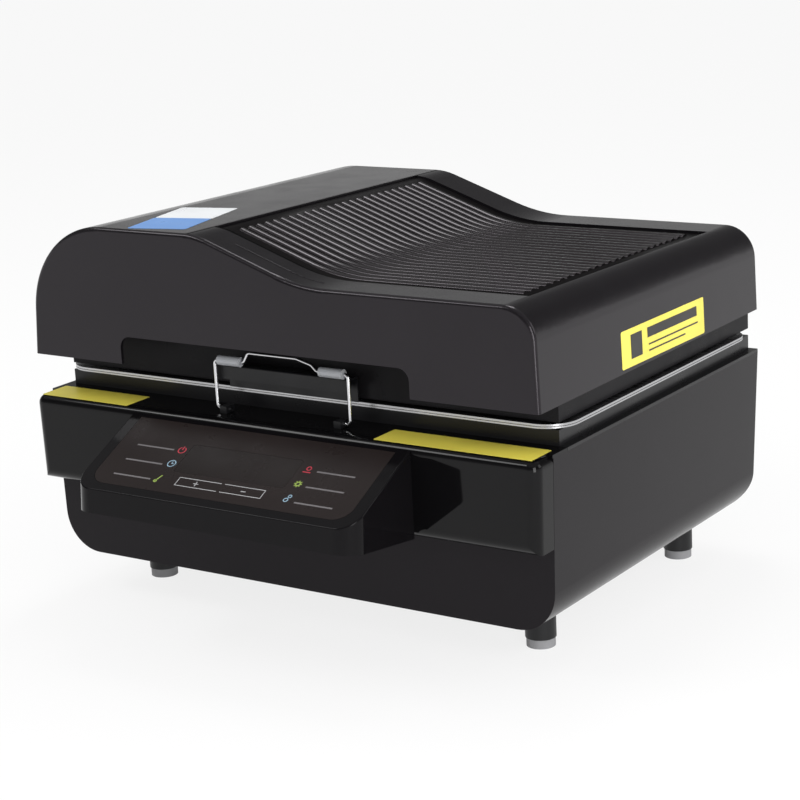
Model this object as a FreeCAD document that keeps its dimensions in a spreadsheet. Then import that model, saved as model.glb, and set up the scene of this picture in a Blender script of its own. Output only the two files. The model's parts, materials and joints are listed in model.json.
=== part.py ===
"""A 3-D vacuum sublimation machine: a bench-top oven with a vacuum bed.

The base holds a vacuum bed under a sloping keypad panel, a membrane frame
clamps a silicone sheet over the bed, and a wave-topped lid carries the heaters.
X points right, Y to the back and Z up; the origin is on the bench, under the
centre of the machine. Sizes are in millimetres.
"""
import FreeCAD, Part
import math
import os
import re

import Sketcher
from FreeCAD import Placement, Rotation, Vector

# --------------------------------------------------------------------------
# Driving sizes
# --------------------------------------------------------------------------
SIZES = {
    # casing of the base
    "base_width": 590.0,
    "base_depth": 450.0,
    "deck_height": 215.0,
    "foot_height": 44.0,
    "side_lean": 4.0,
    "wall": 3.0,
    "tub_corner": 41.0,
    "tub_back_round": 40.0,
    "seam": 0.4,
    # front fascia and the control panel that stands out of it
    "fascia_depth": 29.0,
    "fascia_bottom": 127.0,
    "fascia_corner": 11.0,
    "ledge_round": 9.0,
    "panel_reach": 99.0,
    "panel_width": 326.0,
    "panel_back_drop": 4.0,
    "panel_front_top": 163.3,
    "panel_front_bottom": 139.5,
    "panel_front_lean": 2.0,
    "panel_corner": 21.0,
    "overlay_margin": 13.0,
    "overlay_sheet": 1.2,
    "overlay_corner": 18.0,
    "window_width": 130.0,
    "window_low": 38.5,
    "window_length": 38.5,
    "board_sheet": 1.6,
    # rims that meet at the membrane frame
    "rim_width": 574.0,
    "rim_setback": 54.5,
    "rim_back_gap": 5.5,
    "base_rim_height": 15.0,
    "frame_gap": 7.0,
    "lid_rim_show": 19.5,
    "chamber_width": 462.0,
    "chamber_depth": 312.0,
    "seal_width": 8.0,
    "seal_inset": 6.0,
    "seal_height": 1.1,
    "part_gap": 0.3,
    # vacuum bed
    "tray_depth": 74.0,
    "tray_sheet": 1.2,
    "tray_corner": 20.0,
    "plate_drop": 60.0,
    "plate_sheet": 2.0,
    "plate_hole": 6.0,
    "plate_columns": 7,
    "plate_rows": 5,
    "plate_pitch": 60.0,
    # membrane frame
    "frame_width": 589.0,
    "frame_reach": 7.5,
    "frame_corner": 30.0,
    "frame_lower_sheet": 1.5,
    "membrane_sheet": 0.6,
    "frame_upper_sheet": 1.9,
    # lid
    "lid_width": 590.0,
    "lid_setback": 8.0,
    "lid_back_gap": 0.5,
    "lid_lean": 3.0,
    "lid_lean_left": 11.0,
    "lid_fall": 9.0,
    "lid_wall": 3.5,
    "lid_front_round": 4.0,
    "shoulder_height": 391.0,
    "shoulder_round": 94.0,
    "crest_x": -78.3,
    "crest_height": 392.0,
    "crest_round": 75.0,
    "trough_x": 43.0,
    "trough_height": 350.2,
    "trough_round": 190.0,
    "right_height": 351.6,
    "right_round": 32.0,
    "notch_width": 340.0,
    "notch_shift": -10.0,
    "notch_top": 284.5,
    "notch_corner": 12.0,
    "shelf_sheet": 3.0,
    "lid_rim_height": 52.0,
    # ribbed inlay in the top of the lid
    "inlay_land": 5.0,
    "inlay_crest_round": 30.0,
    "inlay_right": 262.0,
    "inlay_margin": 44.0,
    "inlay_drop": 5.0,
    "inlay_sheet": 2.5,
    "inlay_film": 0.1,
    "inlay_seam": 1.2,
    "rib_count": 25,
    "rib_pitch": 13.0,
    "rib_foot": 9.0,
    "rib_crown": 4.2,
    "rib_height": 2.6,
    "rib_root": 0.8,
    "rib_lead": 3.0,
    "rib_end_gap": 14.0,
    # heaters in the lid
    "heater_box_sheet": 1.2,
    "shield_gap": 17.7,
    "blanket_sheet": 9.0,
    "heater_count": 5,
    "heater_radius": 5.0,
    "heater_rise": 48.0,
    "heater_pitch": 60.0,
    "cap_half": 7.5,
    "cap_length": 16.0,
    "rail_sheet": 15.0,
    "trough_gap": 9.0,
    "trough_depth": 22.0,
    "trough_bend": 14.0,
    "trough_land": 4.0,
    "reflector_sheet": 0.8,
    "guard_bar": 2.0,
    "guard_count": 12,
    "guard_pitch": 38.0,
    "guard_drop": 20.0,
    "probe_radius": 2.0,
    "probe_setback": 62.0,
    # rear hinges
    "hinge_station": 190.0,
    "hinge_radius": 3.0,
    "hinge_sheet": 1.2,
    "pin_radius": 1.5,
    "pin_fit": 0.05,
    "knuckle": 14.0,
    "knuckle_gap": 0.3,
    "lid_leaf_height": 18.0,
    # front latch
    "latch_setback": 28.0,
    "latch_pivot_rise": 3.2,
    "bail_half_width": 78.6,
    "bail_height": 48.0,
    "bail_wire": 1.8,
    "bail_bend": 4.5,
    "bail_pin_inner": 62.5,
    "hump_half_width": 37.0,
    "hump_rise": 10.0,
    "hump_step": 6.0,
    "hump_peak": 20.0,
    "hump_shoulder": 5.5,
    "sleeve_radius": 4.8,
    "sleeve_inner": 47.0,
    "sleeve_length": 26.5,
    "bracket_inner": 63.5,
    "bracket_length": 8.0,
    "bracket_width": 13.0,
    "bracket_rise": 3.6,
    "catch_half_width": 76.0,
    "catch_sheet": 1.5,
    "catch_gap": 0.4,
    "catch_top_gap": 1.2,
    "catch_lip": 14.0,
    # feet
    "foot_x": 230.6,
    "foot_front": 75.0,
    "foot_back": 61.4,
    "foot_radius": 15.0,
    "pad_height": 9.0,
    "pad_radius": 14.0,
    # things inside the base
    "pump_x": -60.0,
    "pump_radius": 32.0,
    "pump_length": 96.0,
    "pump_head": 58.0,
    "pump_head_length": 24.0,
    "pump_lift": 6.0,
    "pump_bell": 10.0,
    "cradle_half": 45.0,
    "cradle_sheet": 2.0,
    "cheek_half": 26.0,
    "cheek_sheet": 6.0,
    "hose_radius": 5.0,
    "fitting_radius": 7.0,
    "fitting_length": 14.0,
    "power_x": 120.0,
    "power_width": 150.0,
    "power_depth": 110.0,
    "board_grid": 2.0,
    "post_height": 8.0,
    # rear face of the base
    "fan_x": 205.0,
    "fan_z": 140.0,
    "fan_size": 80.0,
    "fan_thick": 25.0,
    "fan_bore": 36.0,
    "fan_blade": 34.0,
    "fan_hub": 13.0,
    "fan_shaft": 2.0,
    "fan_strut": 3.0,
    "fan_wall_gap": 9.0,
    "slot_width": 5.0,
    "slot_pitch": 10.0,
    "slot_count": 7,
    "inlet_x": -200.0,
    "inlet_z": 120.0,
    "inlet_width": 48.0,
    "inlet_height": 30.0,
    "switch_x": -135.0,
    "rocker_width": 18.0,
    "rocker_height": 26.0,
    "rocker_depth": 8.5,
    "rocker_rise": 5.0,
    "rocker_angle": 9.0,
}

# Places worked out from the sizes: each is a formula cell of a second sheet.
PLACES = {
    "front": "=(Sizes.panel_reach - Sizes.base_depth) / 2",
    "back": "=(Sizes.panel_reach + Sizes.base_depth) / 2",
    "tub_front": "=front + Sizes.fascia_depth + Sizes.seam",
    "tub_top": "=Sizes.deck_height - Sizes.wall",
    "base_half": "=Sizes.base_width / 2",
    "rim_half": "=Sizes.rim_width / 2",
    "rim_front": "=front + Sizes.rim_setback",
    "rim_back": "=back - Sizes.rim_back_gap",
    "rim_middle": "=(rim_front + rim_back) / 2",
    "base_rim_top": "=Sizes.deck_height + Sizes.base_rim_height",
    "lid_rim_low": "=base_rim_top + Sizes.frame_gap",
    "lid_low": "=lid_rim_low + Sizes.lid_rim_show",
    "lid_rim_top": "=lid_rim_low + Sizes.lid_rim_height",
    "lid_front": "=front + Sizes.lid_setback",
    "lid_back": "=back - Sizes.lid_back_gap",
    "lid_half": "=Sizes.lid_width / 2",
    "chamber_half": "=Sizes.chamber_width / 2",
    "chamber_front": "=rim_middle - Sizes.chamber_depth / 2",
    "chamber_back": "=rim_middle + Sizes.chamber_depth / 2",
    "frame_low": "=base_rim_top + Sizes.seal_height + Sizes.part_gap",
    "membrane_low": "=frame_low + Sizes.frame_lower_sheet",
    "membrane_top": "=membrane_low + Sizes.membrane_sheet",
    "frame_top": "=membrane_top + Sizes.frame_upper_sheet",
    "frame_front": "=rim_front - Sizes.frame_reach",
    "frame_back": "=rim_back - Sizes.rim_back_gap",
    "frame_half": "=Sizes.frame_width / 2",
    "lid_seal_low": "=frame_top + Sizes.part_gap",
    "leaf_half": "=1.5 * Sizes.knuckle + Sizes.knuckle_gap",
    "hinge_y": "=back - Sizes.hinge_radius",
    "hinge_z": "=base_rim_top + Sizes.frame_gap / 2",
    "latch_y": "=front + Sizes.latch_setback",
    "latch_z": "=Sizes.deck_height + Sizes.latch_pivot_rise",
    "bail_top": "=latch_z + Sizes.bail_height",
    "hump_top": "=bail_top + Sizes.hump_rise",
    "catch_front": "=latch_y + Sizes.sleeve_radius + Sizes.catch_gap",
    "catch_back": "=frame_front - Sizes.catch_sheet",
    "catch_top": "=bail_top - Sizes.sleeve_radius - Sizes.catch_top_gap",
    "tray_low": "=base_rim_top - Sizes.tray_depth",
    "plate_top": "=base_rim_top - Sizes.plate_drop",
    "heater_box_low": "=lid_rim_low + Sizes.wall",
    "heater_z": "=heater_box_low + Sizes.heater_rise",
    "reflector_top": "=heater_z + Sizes.trough_gap + Sizes.reflector_sheet",
    "heater_box_top": "=reflector_top + Sizes.shield_gap",
    "heater_half": "=chamber_half - Sizes.rail_sheet - Sizes.cap_length",
    "guard_low": "=heater_z - Sizes.guard_drop",
    "panel_back_top": "=Sizes.deck_height - Sizes.panel_back_drop",
    "panel_front": "=front - Sizes.panel_reach",
    "panel_edge": "=panel_front + Sizes.panel_front_lean",
    "panel_slope": "=atan((panel_back_top - Sizes.panel_front_top) / (front - panel_edge))",
    "panel_half": "=Sizes.panel_width / 2",
    "floor_top": "=Sizes.foot_height + Sizes.wall",
    "hump_slope": "=(Sizes.crest_height - Sizes.shoulder_height)"
    " / (Sizes.crest_x + lid_half - Sizes.lid_lean_left)",
    "fall_rate": "=Sizes.lid_fall / (lid_back - lid_front)",
    "plateau_slope": "=(Sizes.right_height - Sizes.trough_height)"
    " / (lid_half - Sizes.lid_lean - Sizes.trough_x)",
    "run_slope": "=(Sizes.trough_height - Sizes.crest_height)"
    " / (Sizes.trough_x - Sizes.crest_x)",
    "inlay_crest": "=Sizes.inlay_crest_round * tan((atan(hump_slope) - atan(run_slope)) / 2)",
    "inlay_left": "=Sizes.crest_x - abs(inlay_crest) - Sizes.inlay_land",
    "inlay_front": "=lid_front + Sizes.inlay_margin",
    "inlay_back": "=lid_back - Sizes.inlay_margin",
    "pump_z": "=floor_top + Sizes.pump_lift + Sizes.pump_radius",
    "pump_head_left": "=Sizes.pump_x + Sizes.pump_length / 2",
    "pump_head_right": "=pump_head_left + Sizes.pump_head_length",
    "hose_start": "=tray_low - Sizes.fitting_length",
    "pump_head_top": "=pump_z + Sizes.pump_head / 2",
    "fan_back": "=back - Sizes.fan_wall_gap",
    "fan_front": "=fan_back - Sizes.fan_thick",
    "rocker_y": "=back - Sizes.rocker_depth",
    "first_rib": "=(inlay_front + inlay_back) / 2 - (Sizes.rib_count - 1) / 2 * Sizes.rib_pitch",
    "rib_start": "=inlay_left + Sizes.inlay_seam + Sizes.rib_lead",
    "rib_start_z": "=Sizes.crest_height + hump_slope * (rib_start - Sizes.crest_x)"
    " - Sizes.inlay_drop + Sizes.inlay_sheet",
}

doc = FreeCAD.newDocument("SublimationMachine")
sizes = doc.addObject("Spreadsheet::Sheet", "Sizes")
places = doc.addObject("Spreadsheet::Sheet", "Places")


def fill(sheet, cells):
    """Write one named cell per row: the name in column A, the content in column B."""
    for row, (name, content) in enumerate(cells.items(), start=1):
        sheet.set(f"A{row}", name)
        sheet.set(f"B{row}", str(content))
        sheet.setAlias(f"B{row}", name)


fill(sizes, SIZES)
fill(places, PLACES)
doc.recompute()


def bound(formula):
    """The formula with each size or place given its sheet's name."""

    def with_sheet(match):
        word = match.group()
        if word in SIZES:
            return "Sizes." + word
        return "Places." + word if word in PLACES else word

    return re.sub(r"[a-z][a-z_0-9]*", with_sheet, str(formula))


def value(formula):
    """The number that a formula gives."""
    result = sizes.evalExpression(bound(formula))
    return float(getattr(result, "Value", result))


def bind(item, **formulas):
    """Bind properties to formulas; x, y and z stand for the placement's base."""
    for name, formula in formulas.items():
        path = f"Placement.Base.{name}" if name in "xyz" else name
        item.setExpression(path, bound(formula))
    return item


# --------------------------------------------------------------------------
# Primitives and booleans
# --------------------------------------------------------------------------
TURN_TO = {
    "X": Rotation(Vector(0, 1, 0), 90),
    "Y": Rotation(Vector(1, 0, 0), -90),
    "Z": Rotation(),
}
ALONG = {"X": Vector(1, 0, 0), "Y": Vector(0, 1, 0), "Z": Vector(0, 0, 1)}
SKETCH_TURN = {
    "X": Rotation(Vector(1, 1, 1), 120),
    "Y": Rotation(Vector(1, 0, 0), 90),
    "Z": Rotation(),
}
SKETCH_PLANE = {"X": "YZ_Plane", "Y": "XZ_Plane", "Z": "XY_Plane"}


def box(name, x, y, z):
    """A block between a low and a high formula on each axis."""
    block = doc.addObject("Part::Box", name)
    bind(block, x=x[0], y=y[0], z=z[0])
    return bind(
        block,
        Length=f"({x[1]}) - ({x[0]})",
        Width=f"({y[1]}) - ({y[0]})",
        Height=f"({z[1]}) - ({z[0]})",
    )


def rod(name, axis, radius, start, length):
    """A cylinder along an axis from its start point (three formulas)."""
    bar = doc.addObject("Part::Cylinder", name)
    bar.Placement = Placement(Vector(), TURN_TO[axis])
    bind(bar, x=start[0], y=start[1], z=start[2])
    return bind(bar, Radius=radius, Height=length)


def join(name, *pieces):
    """The pieces fused into one solid."""
    union = doc.addObject("Part::MultiFuse", name)
    union.Shapes = list(pieces)
    union.Refine = True
    return union


def group(name, *pieces):
    """Separate solids kept together."""
    together = doc.addObject("Part::Compound", name)
    together.Links = list(pieces)
    return together


def less(name, stock, *tools):
    """The stock with the tools cut away."""
    rest = doc.addObject("Part::Cut", name)
    rest.Base = stock
    rest.Tool = tools[0] if len(tools) == 1 else join(name + "_tools", *tools)
    rest.Refine = True
    return rest


def shared(name, one, other):
    """The space that both pieces fill."""
    both = doc.addObject("Part::Common", name)
    both.Base = one
    both.Tool = other
    both.Refine = True
    return both


# --------------------------------------------------------------------------
# Sketches: closed outlines with straight sides and rounded corners
# --------------------------------------------------------------------------
def corner_arc(before, corner, after, radius):
    """The arc that rounds a corner, as its two ends and its middle."""
    one = (before - corner).normalize()
    two = (after - corner).normalize()
    half = one.getAngle(two) / 2
    inward = (one + two).normalize()
    reach = radius / math.tan(half)
    middle = corner + inward * (radius / math.sin(half) - radius)
    return corner + one * reach, middle, corner + two * reach


def pin_point(sketch, geometry, end, across, up):
    """Fix a point of the sketch by two bound distances from its origin."""
    for kind, formula in (("DistanceX", across), ("DistanceY", up)):
        number = value(formula)
        rule = Sketcher.Constraint(kind, -1, 1, geometry, end, number)
        index = sketch.addConstraint(rule)
        sketch.setExpression(f"Constraints[{index}]", bound(formula))


def draw(sketch, corners, closed=True):
    """Draw an outline or an open run; a corner is (across, up[, radius])."""
    marks = [Vector(value(c[0]), value(c[1]), 0) for c in corners]
    count = len(corners)
    ends = []
    for i, corner in enumerate(corners):
        if len(corner) == 2:
            ends.append((marks[i], None, marks[i]))
        else:
            following = marks[(i + 1) % count]
            ends.append(corner_arc(marks[i - 1], marks[i], following, value(corner[2])))
    lines = {}
    for i in range(count if closed else count - 1):
        line = Part.LineSegment(ends[i][2], ends[(i + 1) % count][0])
        lines[i] = sketch.addGeometry(line, False)
    for i, corner in enumerate(corners):
        before = lines.get((i - 1) % count)
        after = lines.get(i)
        if before is None:
            pin_point(sketch, after, 1, corner[0], corner[1])
        elif after is None:
            pin_point(sketch, before, 2, corner[0], corner[1])
        elif len(corner) == 2:
            sketch.addConstraint(Sketcher.Constraint("Coincident", before, 2, after, 1))
            pin_point(sketch, after, 1, corner[0], corner[1])
        else:
            around = (marks[i - 1], marks[i], marks[(i + 1) % count])
            draw_bend(sketch, before, after, corner, ends[i], around)
    return sketch


def draw_bend(sketch, before, after, corner, ends, around):
    """Round the corner between two drawn lines with a tangent arc."""
    mark = sketch.addGeometry(Part.Point(around[1]), True)
    pin_point(sketch, mark, 1, corner[0], corner[1])
    sketch.addConstraint(Sketcher.Constraint("PointOnObject", mark, 1, before))
    sketch.addConstraint(Sketcher.Constraint("PointOnObject", mark, 1, after))
    arc = sketch.addGeometry(Part.Arc(*ends), False)
    turn = (around[1] - around[0]).cross(around[2] - around[1]).z
    first, last = (1, 2) if turn > 0 else (2, 1)
    sketch.addConstraint(Sketcher.Constraint("Tangent", before, 2, arc, first))
    sketch.addConstraint(Sketcher.Constraint("Tangent", arc, last, after, 1))
    index = sketch.addConstraint(Sketcher.Constraint("Radius", arc, value(corner[2])))
    sketch.setExpression(f"Constraints[{index}]", bound(corner[2]))


def outline(name, axis, at, corners):
    """A free sketch across an axis; on Y it is seen from the front."""
    sketch = doc.addObject("Sketcher::SketchObject", name)
    sketch.Placement = Placement(Vector(), SKETCH_TURN[axis])
    bind(sketch, **{axis.lower(): at})
    return draw(sketch, corners)


def extrude(name, axis, low, high, corners):
    """An outline pushed along an axis from a low to a high place."""
    solid = doc.addObject("Part::Extrusion", name)
    solid.Base = outline(name + "_outline", axis, low, corners)
    solid.DirMode = "Custom"
    solid.Dir = ALONG[axis]
    solid.Solid = True
    return bind(solid, LengthFwd=f"({high}) - ({low})")


def rectangle(half_width, low, high, radius=None):
    """The corners of a rectangle that is centred across."""
    corners = [
        (f"-({half_width})", low),
        (half_width, low),
        (half_width, high),
        (f"-({half_width})", high),
    ]
    if radius is None:
        return corners
    return [corner + (radius,) for corner in corners]


# --------------------------------------------------------------------------
# PartDesign bodies
# --------------------------------------------------------------------------
def new_body(name):
    """An empty body."""
    return doc.addObject("PartDesign::Body", name)


def body_sketch(body, axis, at):
    """An empty sketch on one of the body's own planes, moved along the axis."""
    sketch = body.newObject("Sketcher::SketchObject", body.Name + "_sketch")
    planes = [f for f in body.Origin.OriginFeatures if f.Role == SKETCH_PLANE[axis]]
    sketch.AttachmentSupport = (planes[0], [""])
    sketch.MapMode = "FlatFace"
    offset = f"-({at})" if axis == "Y" else at
    sketch.setExpression("AttachmentOffset.Base.z", bound(offset))
    return sketch


def pad(body, axis, low, high, corners):
    """Add material along an axis between two places."""
    start = high if axis == "Y" else low
    feature = body.newObject("PartDesign::Pad", body.Name + "_pad")
    feature.Profile = draw(body_sketch(body, axis, start), corners)
    feature.Refine = True
    return bind(feature, Length=f"({high}) - ({low})")


def pocket(body, axis, low, high, corners):
    """Cut material along an axis between two places."""
    start = low if axis == "Y" else high
    doc.recompute()
    before = body.Tip.Shape.Volume
    feature = body.newObject("PartDesign::Pocket", body.Name + "_pocket")
    feature.Profile = draw(body_sketch(body, axis, start), corners)
    feature.Refine = True
    bind(feature, Length=f"({high}) - ({low})")
    doc.recompute()
    if feature.Shape.Volume > before - 1.0:
        raise RuntimeError(f"a pocket of {body.Name} cuts nothing")
    return feature


def falling(feature, way):
    """Let a pad or pocket along Y come down with the fall of the lid's top."""
    feature.UseCustomVector = True
    feature.Direction = Vector(0, way, -way * value("fall_rate"))
    feature.AlongSketchNormal = True
    return feature


def turned(body, corners):
    """Turn an outline (radius, height) all the way round the Z axis."""
    feature = body.newObject("PartDesign::Revolution", body.Name + "_turned")
    sketch = draw(body_sketch(body, "Y", "0"), corners)
    feature.Profile = sketch
    feature.ReferenceAxis = (sketch, ["V_Axis"])
    feature.Angle = 360
    return feature


def rounded(body, radius, wanted):
    """Fillet the body's edges whose middle and direction suit the test."""
    doc.recompute()
    tip = body.Tip
    names = []
    for number, edge in enumerate(tip.Shape.Edges, start=1):
        middle = edge.valueAt((edge.FirstParameter + edge.LastParameter) / 2)
        if wanted(edge, middle):
            names.append(f"Edge{number}")
    feature = body.newObject("PartDesign::Fillet", body.Name + "_round")
    feature.Base = (tip, names)
    return bind(feature, Radius=radius)


def repeated(body, feature, axis, count, pitch):
    """Repeat a feature in a row along one of the body's own axes."""
    role = axis + "_Axis"
    axes = [f for f in body.Origin.OriginFeatures if f.Role == role]
    row = body.newObject("PartDesign::LinearPattern", body.Name + "_row")
    row.Originals = [feature]
    row.Direction = (axes[0], [""])
    bind(row, Occurrences=count, Length=f"({pitch}) * ({count} - 1)")
    body.Tip = row
    return row


def near(a, b, reach=0.05):
    """Whether two lengths are the same within a small reach."""
    return abs(a - b) < reach


# --------------------------------------------------------------------------
# Base casing
# --------------------------------------------------------------------------
def tub_section(inset):
    """The tub seen from the front: leaning sides and rounded lower corners."""
    low = f"foot_height + {inset}"
    top = "tub_top" if inset == "0" else "tub_top + wall"
    foot = f"base_half - side_lean - {inset}"
    head = f"base_half - {inset}"
    bend = f"tub_corner - {inset}"
    return [
        (f"-({foot})", low, bend),
        (foot, low, bend),
        (head, top),
        (f"-({head})", top),
    ]


def tub_side(inset):
    """The tub seen from the side: an upright front and a rounded lower back."""
    low = f"foot_height + {inset}"
    top = "tub_top" if inset == "0" else "tub_top + wall"
    return [
        (f"tub_front + {inset}", low),
        (f"back - 2 * side_lean - {inset}", low, f"tub_back_round - {inset}"),
        (f"back - {inset}", top),
        (f"tub_front + {inset}", top),
    ]


def tub_form(name, inset):
    """The space that both views of the tub share."""
    seen_front = extrude(name + "_front", "Y", "tub_front", "back", tub_section(inset))
    seen_side = extrude(name + "_side", "X", "-base_half", "base_half", tub_side(inset))
    return shared(name, seen_front, seen_side)


def fan_slots():
    """Upright air slots in the back wall, in front of the fan."""
    slots = []
    for i in range(int(value("slot_count"))):
        middle = f"fan_x + ({i} - (slot_count - 1) / 2) * slot_pitch"
        slots.append(
            box(
                f"fan_slot_{i}",
                (f"{middle} - slot_width / 2", f"{middle} + slot_width / 2"),
                ("back - 4 * wall", "back + wall"),
                ("fan_z - fan_size * 0.42", "fan_z + fan_size * 0.42"),
            )
        )
    return slots


def floor_slots():
    """Air slots through the floor under the pump and the power board."""
    slots = []
    for i in range(8):
        middle = f"({i} - 3.5) * 40"
        slots.append(
            box(
                f"floor_slot_{i}",
                (f"{middle} - slot_width / 2", f"{middle} + slot_width / 2"),
                ("rim_middle - 60", "rim_middle + 60"),
                ("foot_height - wall", "floor_top + wall"),
            )
        )
    return slots


def make_lower_tub():
    """The moulded tub that holds the pump and the boards."""
    shell = less("tub_shell", tub_form("tub_outer", "0"), tub_form("tub_inner", "wall"))
    inlet = box(
        "inlet_hole",
        ("inlet_x - inlet_width / 2 + 5", "inlet_x + inlet_width / 2 - 5"),
        ("back - 6 * wall", "back + wall"),
        ("inlet_z - inlet_height / 2 + 2", "inlet_z + inlet_height / 2 - 2"),
    )
    switch = box(
        "switch_hole",
        ("switch_x - rocker_width / 2 - 2", "switch_x + rocker_width / 2 + 2"),
        ("back - 6 * wall", "back + wall"),
        ("inlet_z - rocker_height / 2 - 2", "inlet_z + rocker_height / 2 + 2"),
    )
    return less("lower_tub", shell, inlet, switch, *fan_slots(), *floor_slots())


def make_top_deck():
    """The deck behind the fascia, with the raised rim round the bed."""
    deck = new_body("top_deck")
    plate = rectangle("base_half", "rim_front + seam", "back")
    pad(deck, "Z", "tub_top", "deck_height", plate)
    pad(deck, "Z", "tub_top", "base_rim_top", rectangle("rim_half", "rim_front", "rim_back"))
    hole = rectangle("chamber_half", "chamber_front", "chamber_back", "tray_corner")
    pocket(deck, "Z", "tub_top", "base_rim_top", hole)
    hollow = rectangle(
        "rim_half - wall", "rim_front + wall", "chamber_front - tray_corner"
    )
    pocket(deck, "Z", "tub_top", "base_rim_top - wall", hollow)
    return deck


def make_fascia():
    """The front fascia: two mirror-bright wings and the ledge over them."""
    fascia = new_body("front_fascia")
    foot = "base_half - side_lean * (deck_height - fascia_bottom) / (deck_height - foot_height)"
    face = [
        (f"-({foot})", "fascia_bottom"),
        (foot, "fascia_bottom"),
        ("base_half", "deck_height"),
        ("-base_half", "deck_height"),
    ]
    pad(fascia, "Y", "front", "front + fascia_depth", face)
    front = value("front")
    rounded(
        fascia,
        "fascia_corner",
        lambda edge, middle: near(middle.y, front) and not near(middle.z, value("deck_height")),
    )
    rounded(
        fascia,
        "ledge_round",
        lambda edge, middle: near(middle.y, front) and near(middle.z, value("deck_height")),
    )
    inner = f"({foot} - fascia_corner)"
    hollow = [
        (f"-({inner})", "fascia_bottom + fascia_corner"),
        (inner, "fascia_bottom + fascia_corner"),
        (inner, "deck_height - wall - 1"),
        (f"-({inner})", "deck_height - wall - 1"),
    ]
    pocket(fascia, "Y", "front + wall", "front + fascia_depth", hollow)
    gap = rectangle("panel_half - 12", "fascia_bottom + 12", "panel_back_top - 12")
    pocket(fascia, "Y", "front", "front + fascia_depth", gap)
    ledge = rectangle("base_half", "front + fascia_depth - 1", "rim_front")
    pad(fascia, "Z", "deck_height - wall", "deck_height", ledge)
    return fascia


def panel_section(inset):
    """The panel housing seen from the side: a sloping top and a short nose."""
    return [
        (f"panel_edge + {inset}", f"panel_front_top - {inset}"),
        (f"panel_front + {inset}", f"panel_front_bottom + {inset}"),
        ("front", f"fascia_bottom + {inset}"),
        ("front", f"panel_back_top - {inset}"),
    ]


def lies_on_slope(item):
    """Stand an item on the panel's slope: its own Y runs up the slope."""
    item.Placement = Placement(Vector(), Rotation(Vector(1, 0, 0), 1))
    bind(item, y="panel_edge", z="panel_front_top")
    item.setExpression("Placement.Rotation.Angle", bound("panel_slope"))
    return item


def slope_plate(name, low, high, corners):
    """A flat plate on the panel's slope, between two depths."""
    plate = new_body(name)
    pad(plate, "Z", low, high, corners)
    return lies_on_slope(plate)


OVERLAY_FOOT = "overlay_margin * 3 / 4"
OVERLAY_HEAD = "(front - panel_edge) / cos(panel_slope) - overlay_margin / 3"


def overlay_outline(inset):
    """The keypad overlay: rounded at the front, square against the deck."""
    half = f"panel_half - overlay_margin - {inset}"
    low = f"{OVERLAY_FOOT} + {inset}"
    high = f"{OVERLAY_HEAD} - {inset}"
    return [
        (f"-({half})", low, "overlay_corner"),
        (half, low, "overlay_corner"),
        (half, high),
        (f"-({half})", high),
    ]


def make_panel_housing():
    """The wedge-shaped housing that carries the keypad."""
    wedge = new_body("panel_wedge")
    pad(wedge, "X", "-panel_half", "panel_half", panel_section("0"))
    nose = value("panel_edge") + 1.0
    half = value("panel_half")

    def is_nose_corner(edge, middle):
        return near(abs(middle.x), half) and middle.y < nose and edge.Length < value("panel_reach") / 2

    rounded(wedge, "panel_corner", is_nose_corner)
    rise = math.tan(math.radians(value("panel_slope")))

    def is_slope_edge(edge, middle):
        height = value("panel_front_top") + (middle.y - value("panel_edge")) * rise
        return near(middle.z, height) and middle.y < value("front") - 2

    rounded(wedge, "wall / 2", is_slope_edge)
    recess = slope_plate("overlay_recess", "-overlay_sheet", "wall", overlay_outline("0"))
    hollow = extrude("panel_hollow", "X", "-panel_half + panel_corner / 2", "panel_half - panel_corner / 2", [
        (
            "panel_edge + panel_corner / 2",
            "panel_front_top - 3 * wall + panel_corner / 2 * tan(panel_slope)",
        ),
        ("panel_edge + panel_corner / 2", "panel_front_bottom + wall"),
        ("front", "fascia_bottom + 2 * wall"),
        ("front", "panel_back_top - 3 * wall"),
    ])
    return less("panel_housing", wedge, recess, hollow)


def make_keypad():
    """The keypad overlay, the smoked window in it and the board under it."""
    sheet = slope_plate(
        "keypad_sheet", "-overlay_sheet", "0", overlay_outline("part_gap")
    )
    window = rectangle("window_width / 2", "window_low", "window_low + window_length", "4")
    hole = slope_plate("window_hole", "-wall", "wall", window)
    less("keypad_overlay", sheet, hole)
    pane = rectangle(
        "window_width / 2 - 0.2", "window_low + 0.2", "window_low + window_length - 0.2", "4"
    )
    slope_plate("display_window", "-overlay_sheet", "-0.1", pane)
    board = rectangle("panel_half - 30", "window_low / 2", "window_low + window_length")
    ceiling = "3 * wall * cos(panel_slope)"
    slope_plate("control_board", f"-{ceiling} - board_sheet", f"-{ceiling}", board)


# --------------------------------------------------------------------------
# Vacuum bed
# --------------------------------------------------------------------------
def ring(name, low, high, outer, inner):
    """A flat frame: an outline with a hole, between two heights."""
    frame = new_body(name)
    pad(frame, "Z", low, high, outer)
    pocket(frame, "Z", low, high, inner)
    return frame


def seal_ring(name, low, high):
    """A soft seal round the chamber's mouth."""
    near_edge = "seal_inset"
    far_edge = "(seal_inset + seal_width)"
    outer = rectangle(
        f"chamber_half + {far_edge}",
        f"chamber_front - {far_edge}",
        f"chamber_back + {far_edge}",
        f"tray_corner + {far_edge}",
    )
    inner = rectangle(
        f"chamber_half + {near_edge}",
        f"chamber_front - {near_edge}",
        f"chamber_back + {near_edge}",
        f"tray_corner + {near_edge}",
    )
    return ring(name, low, high, outer, inner)


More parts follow.
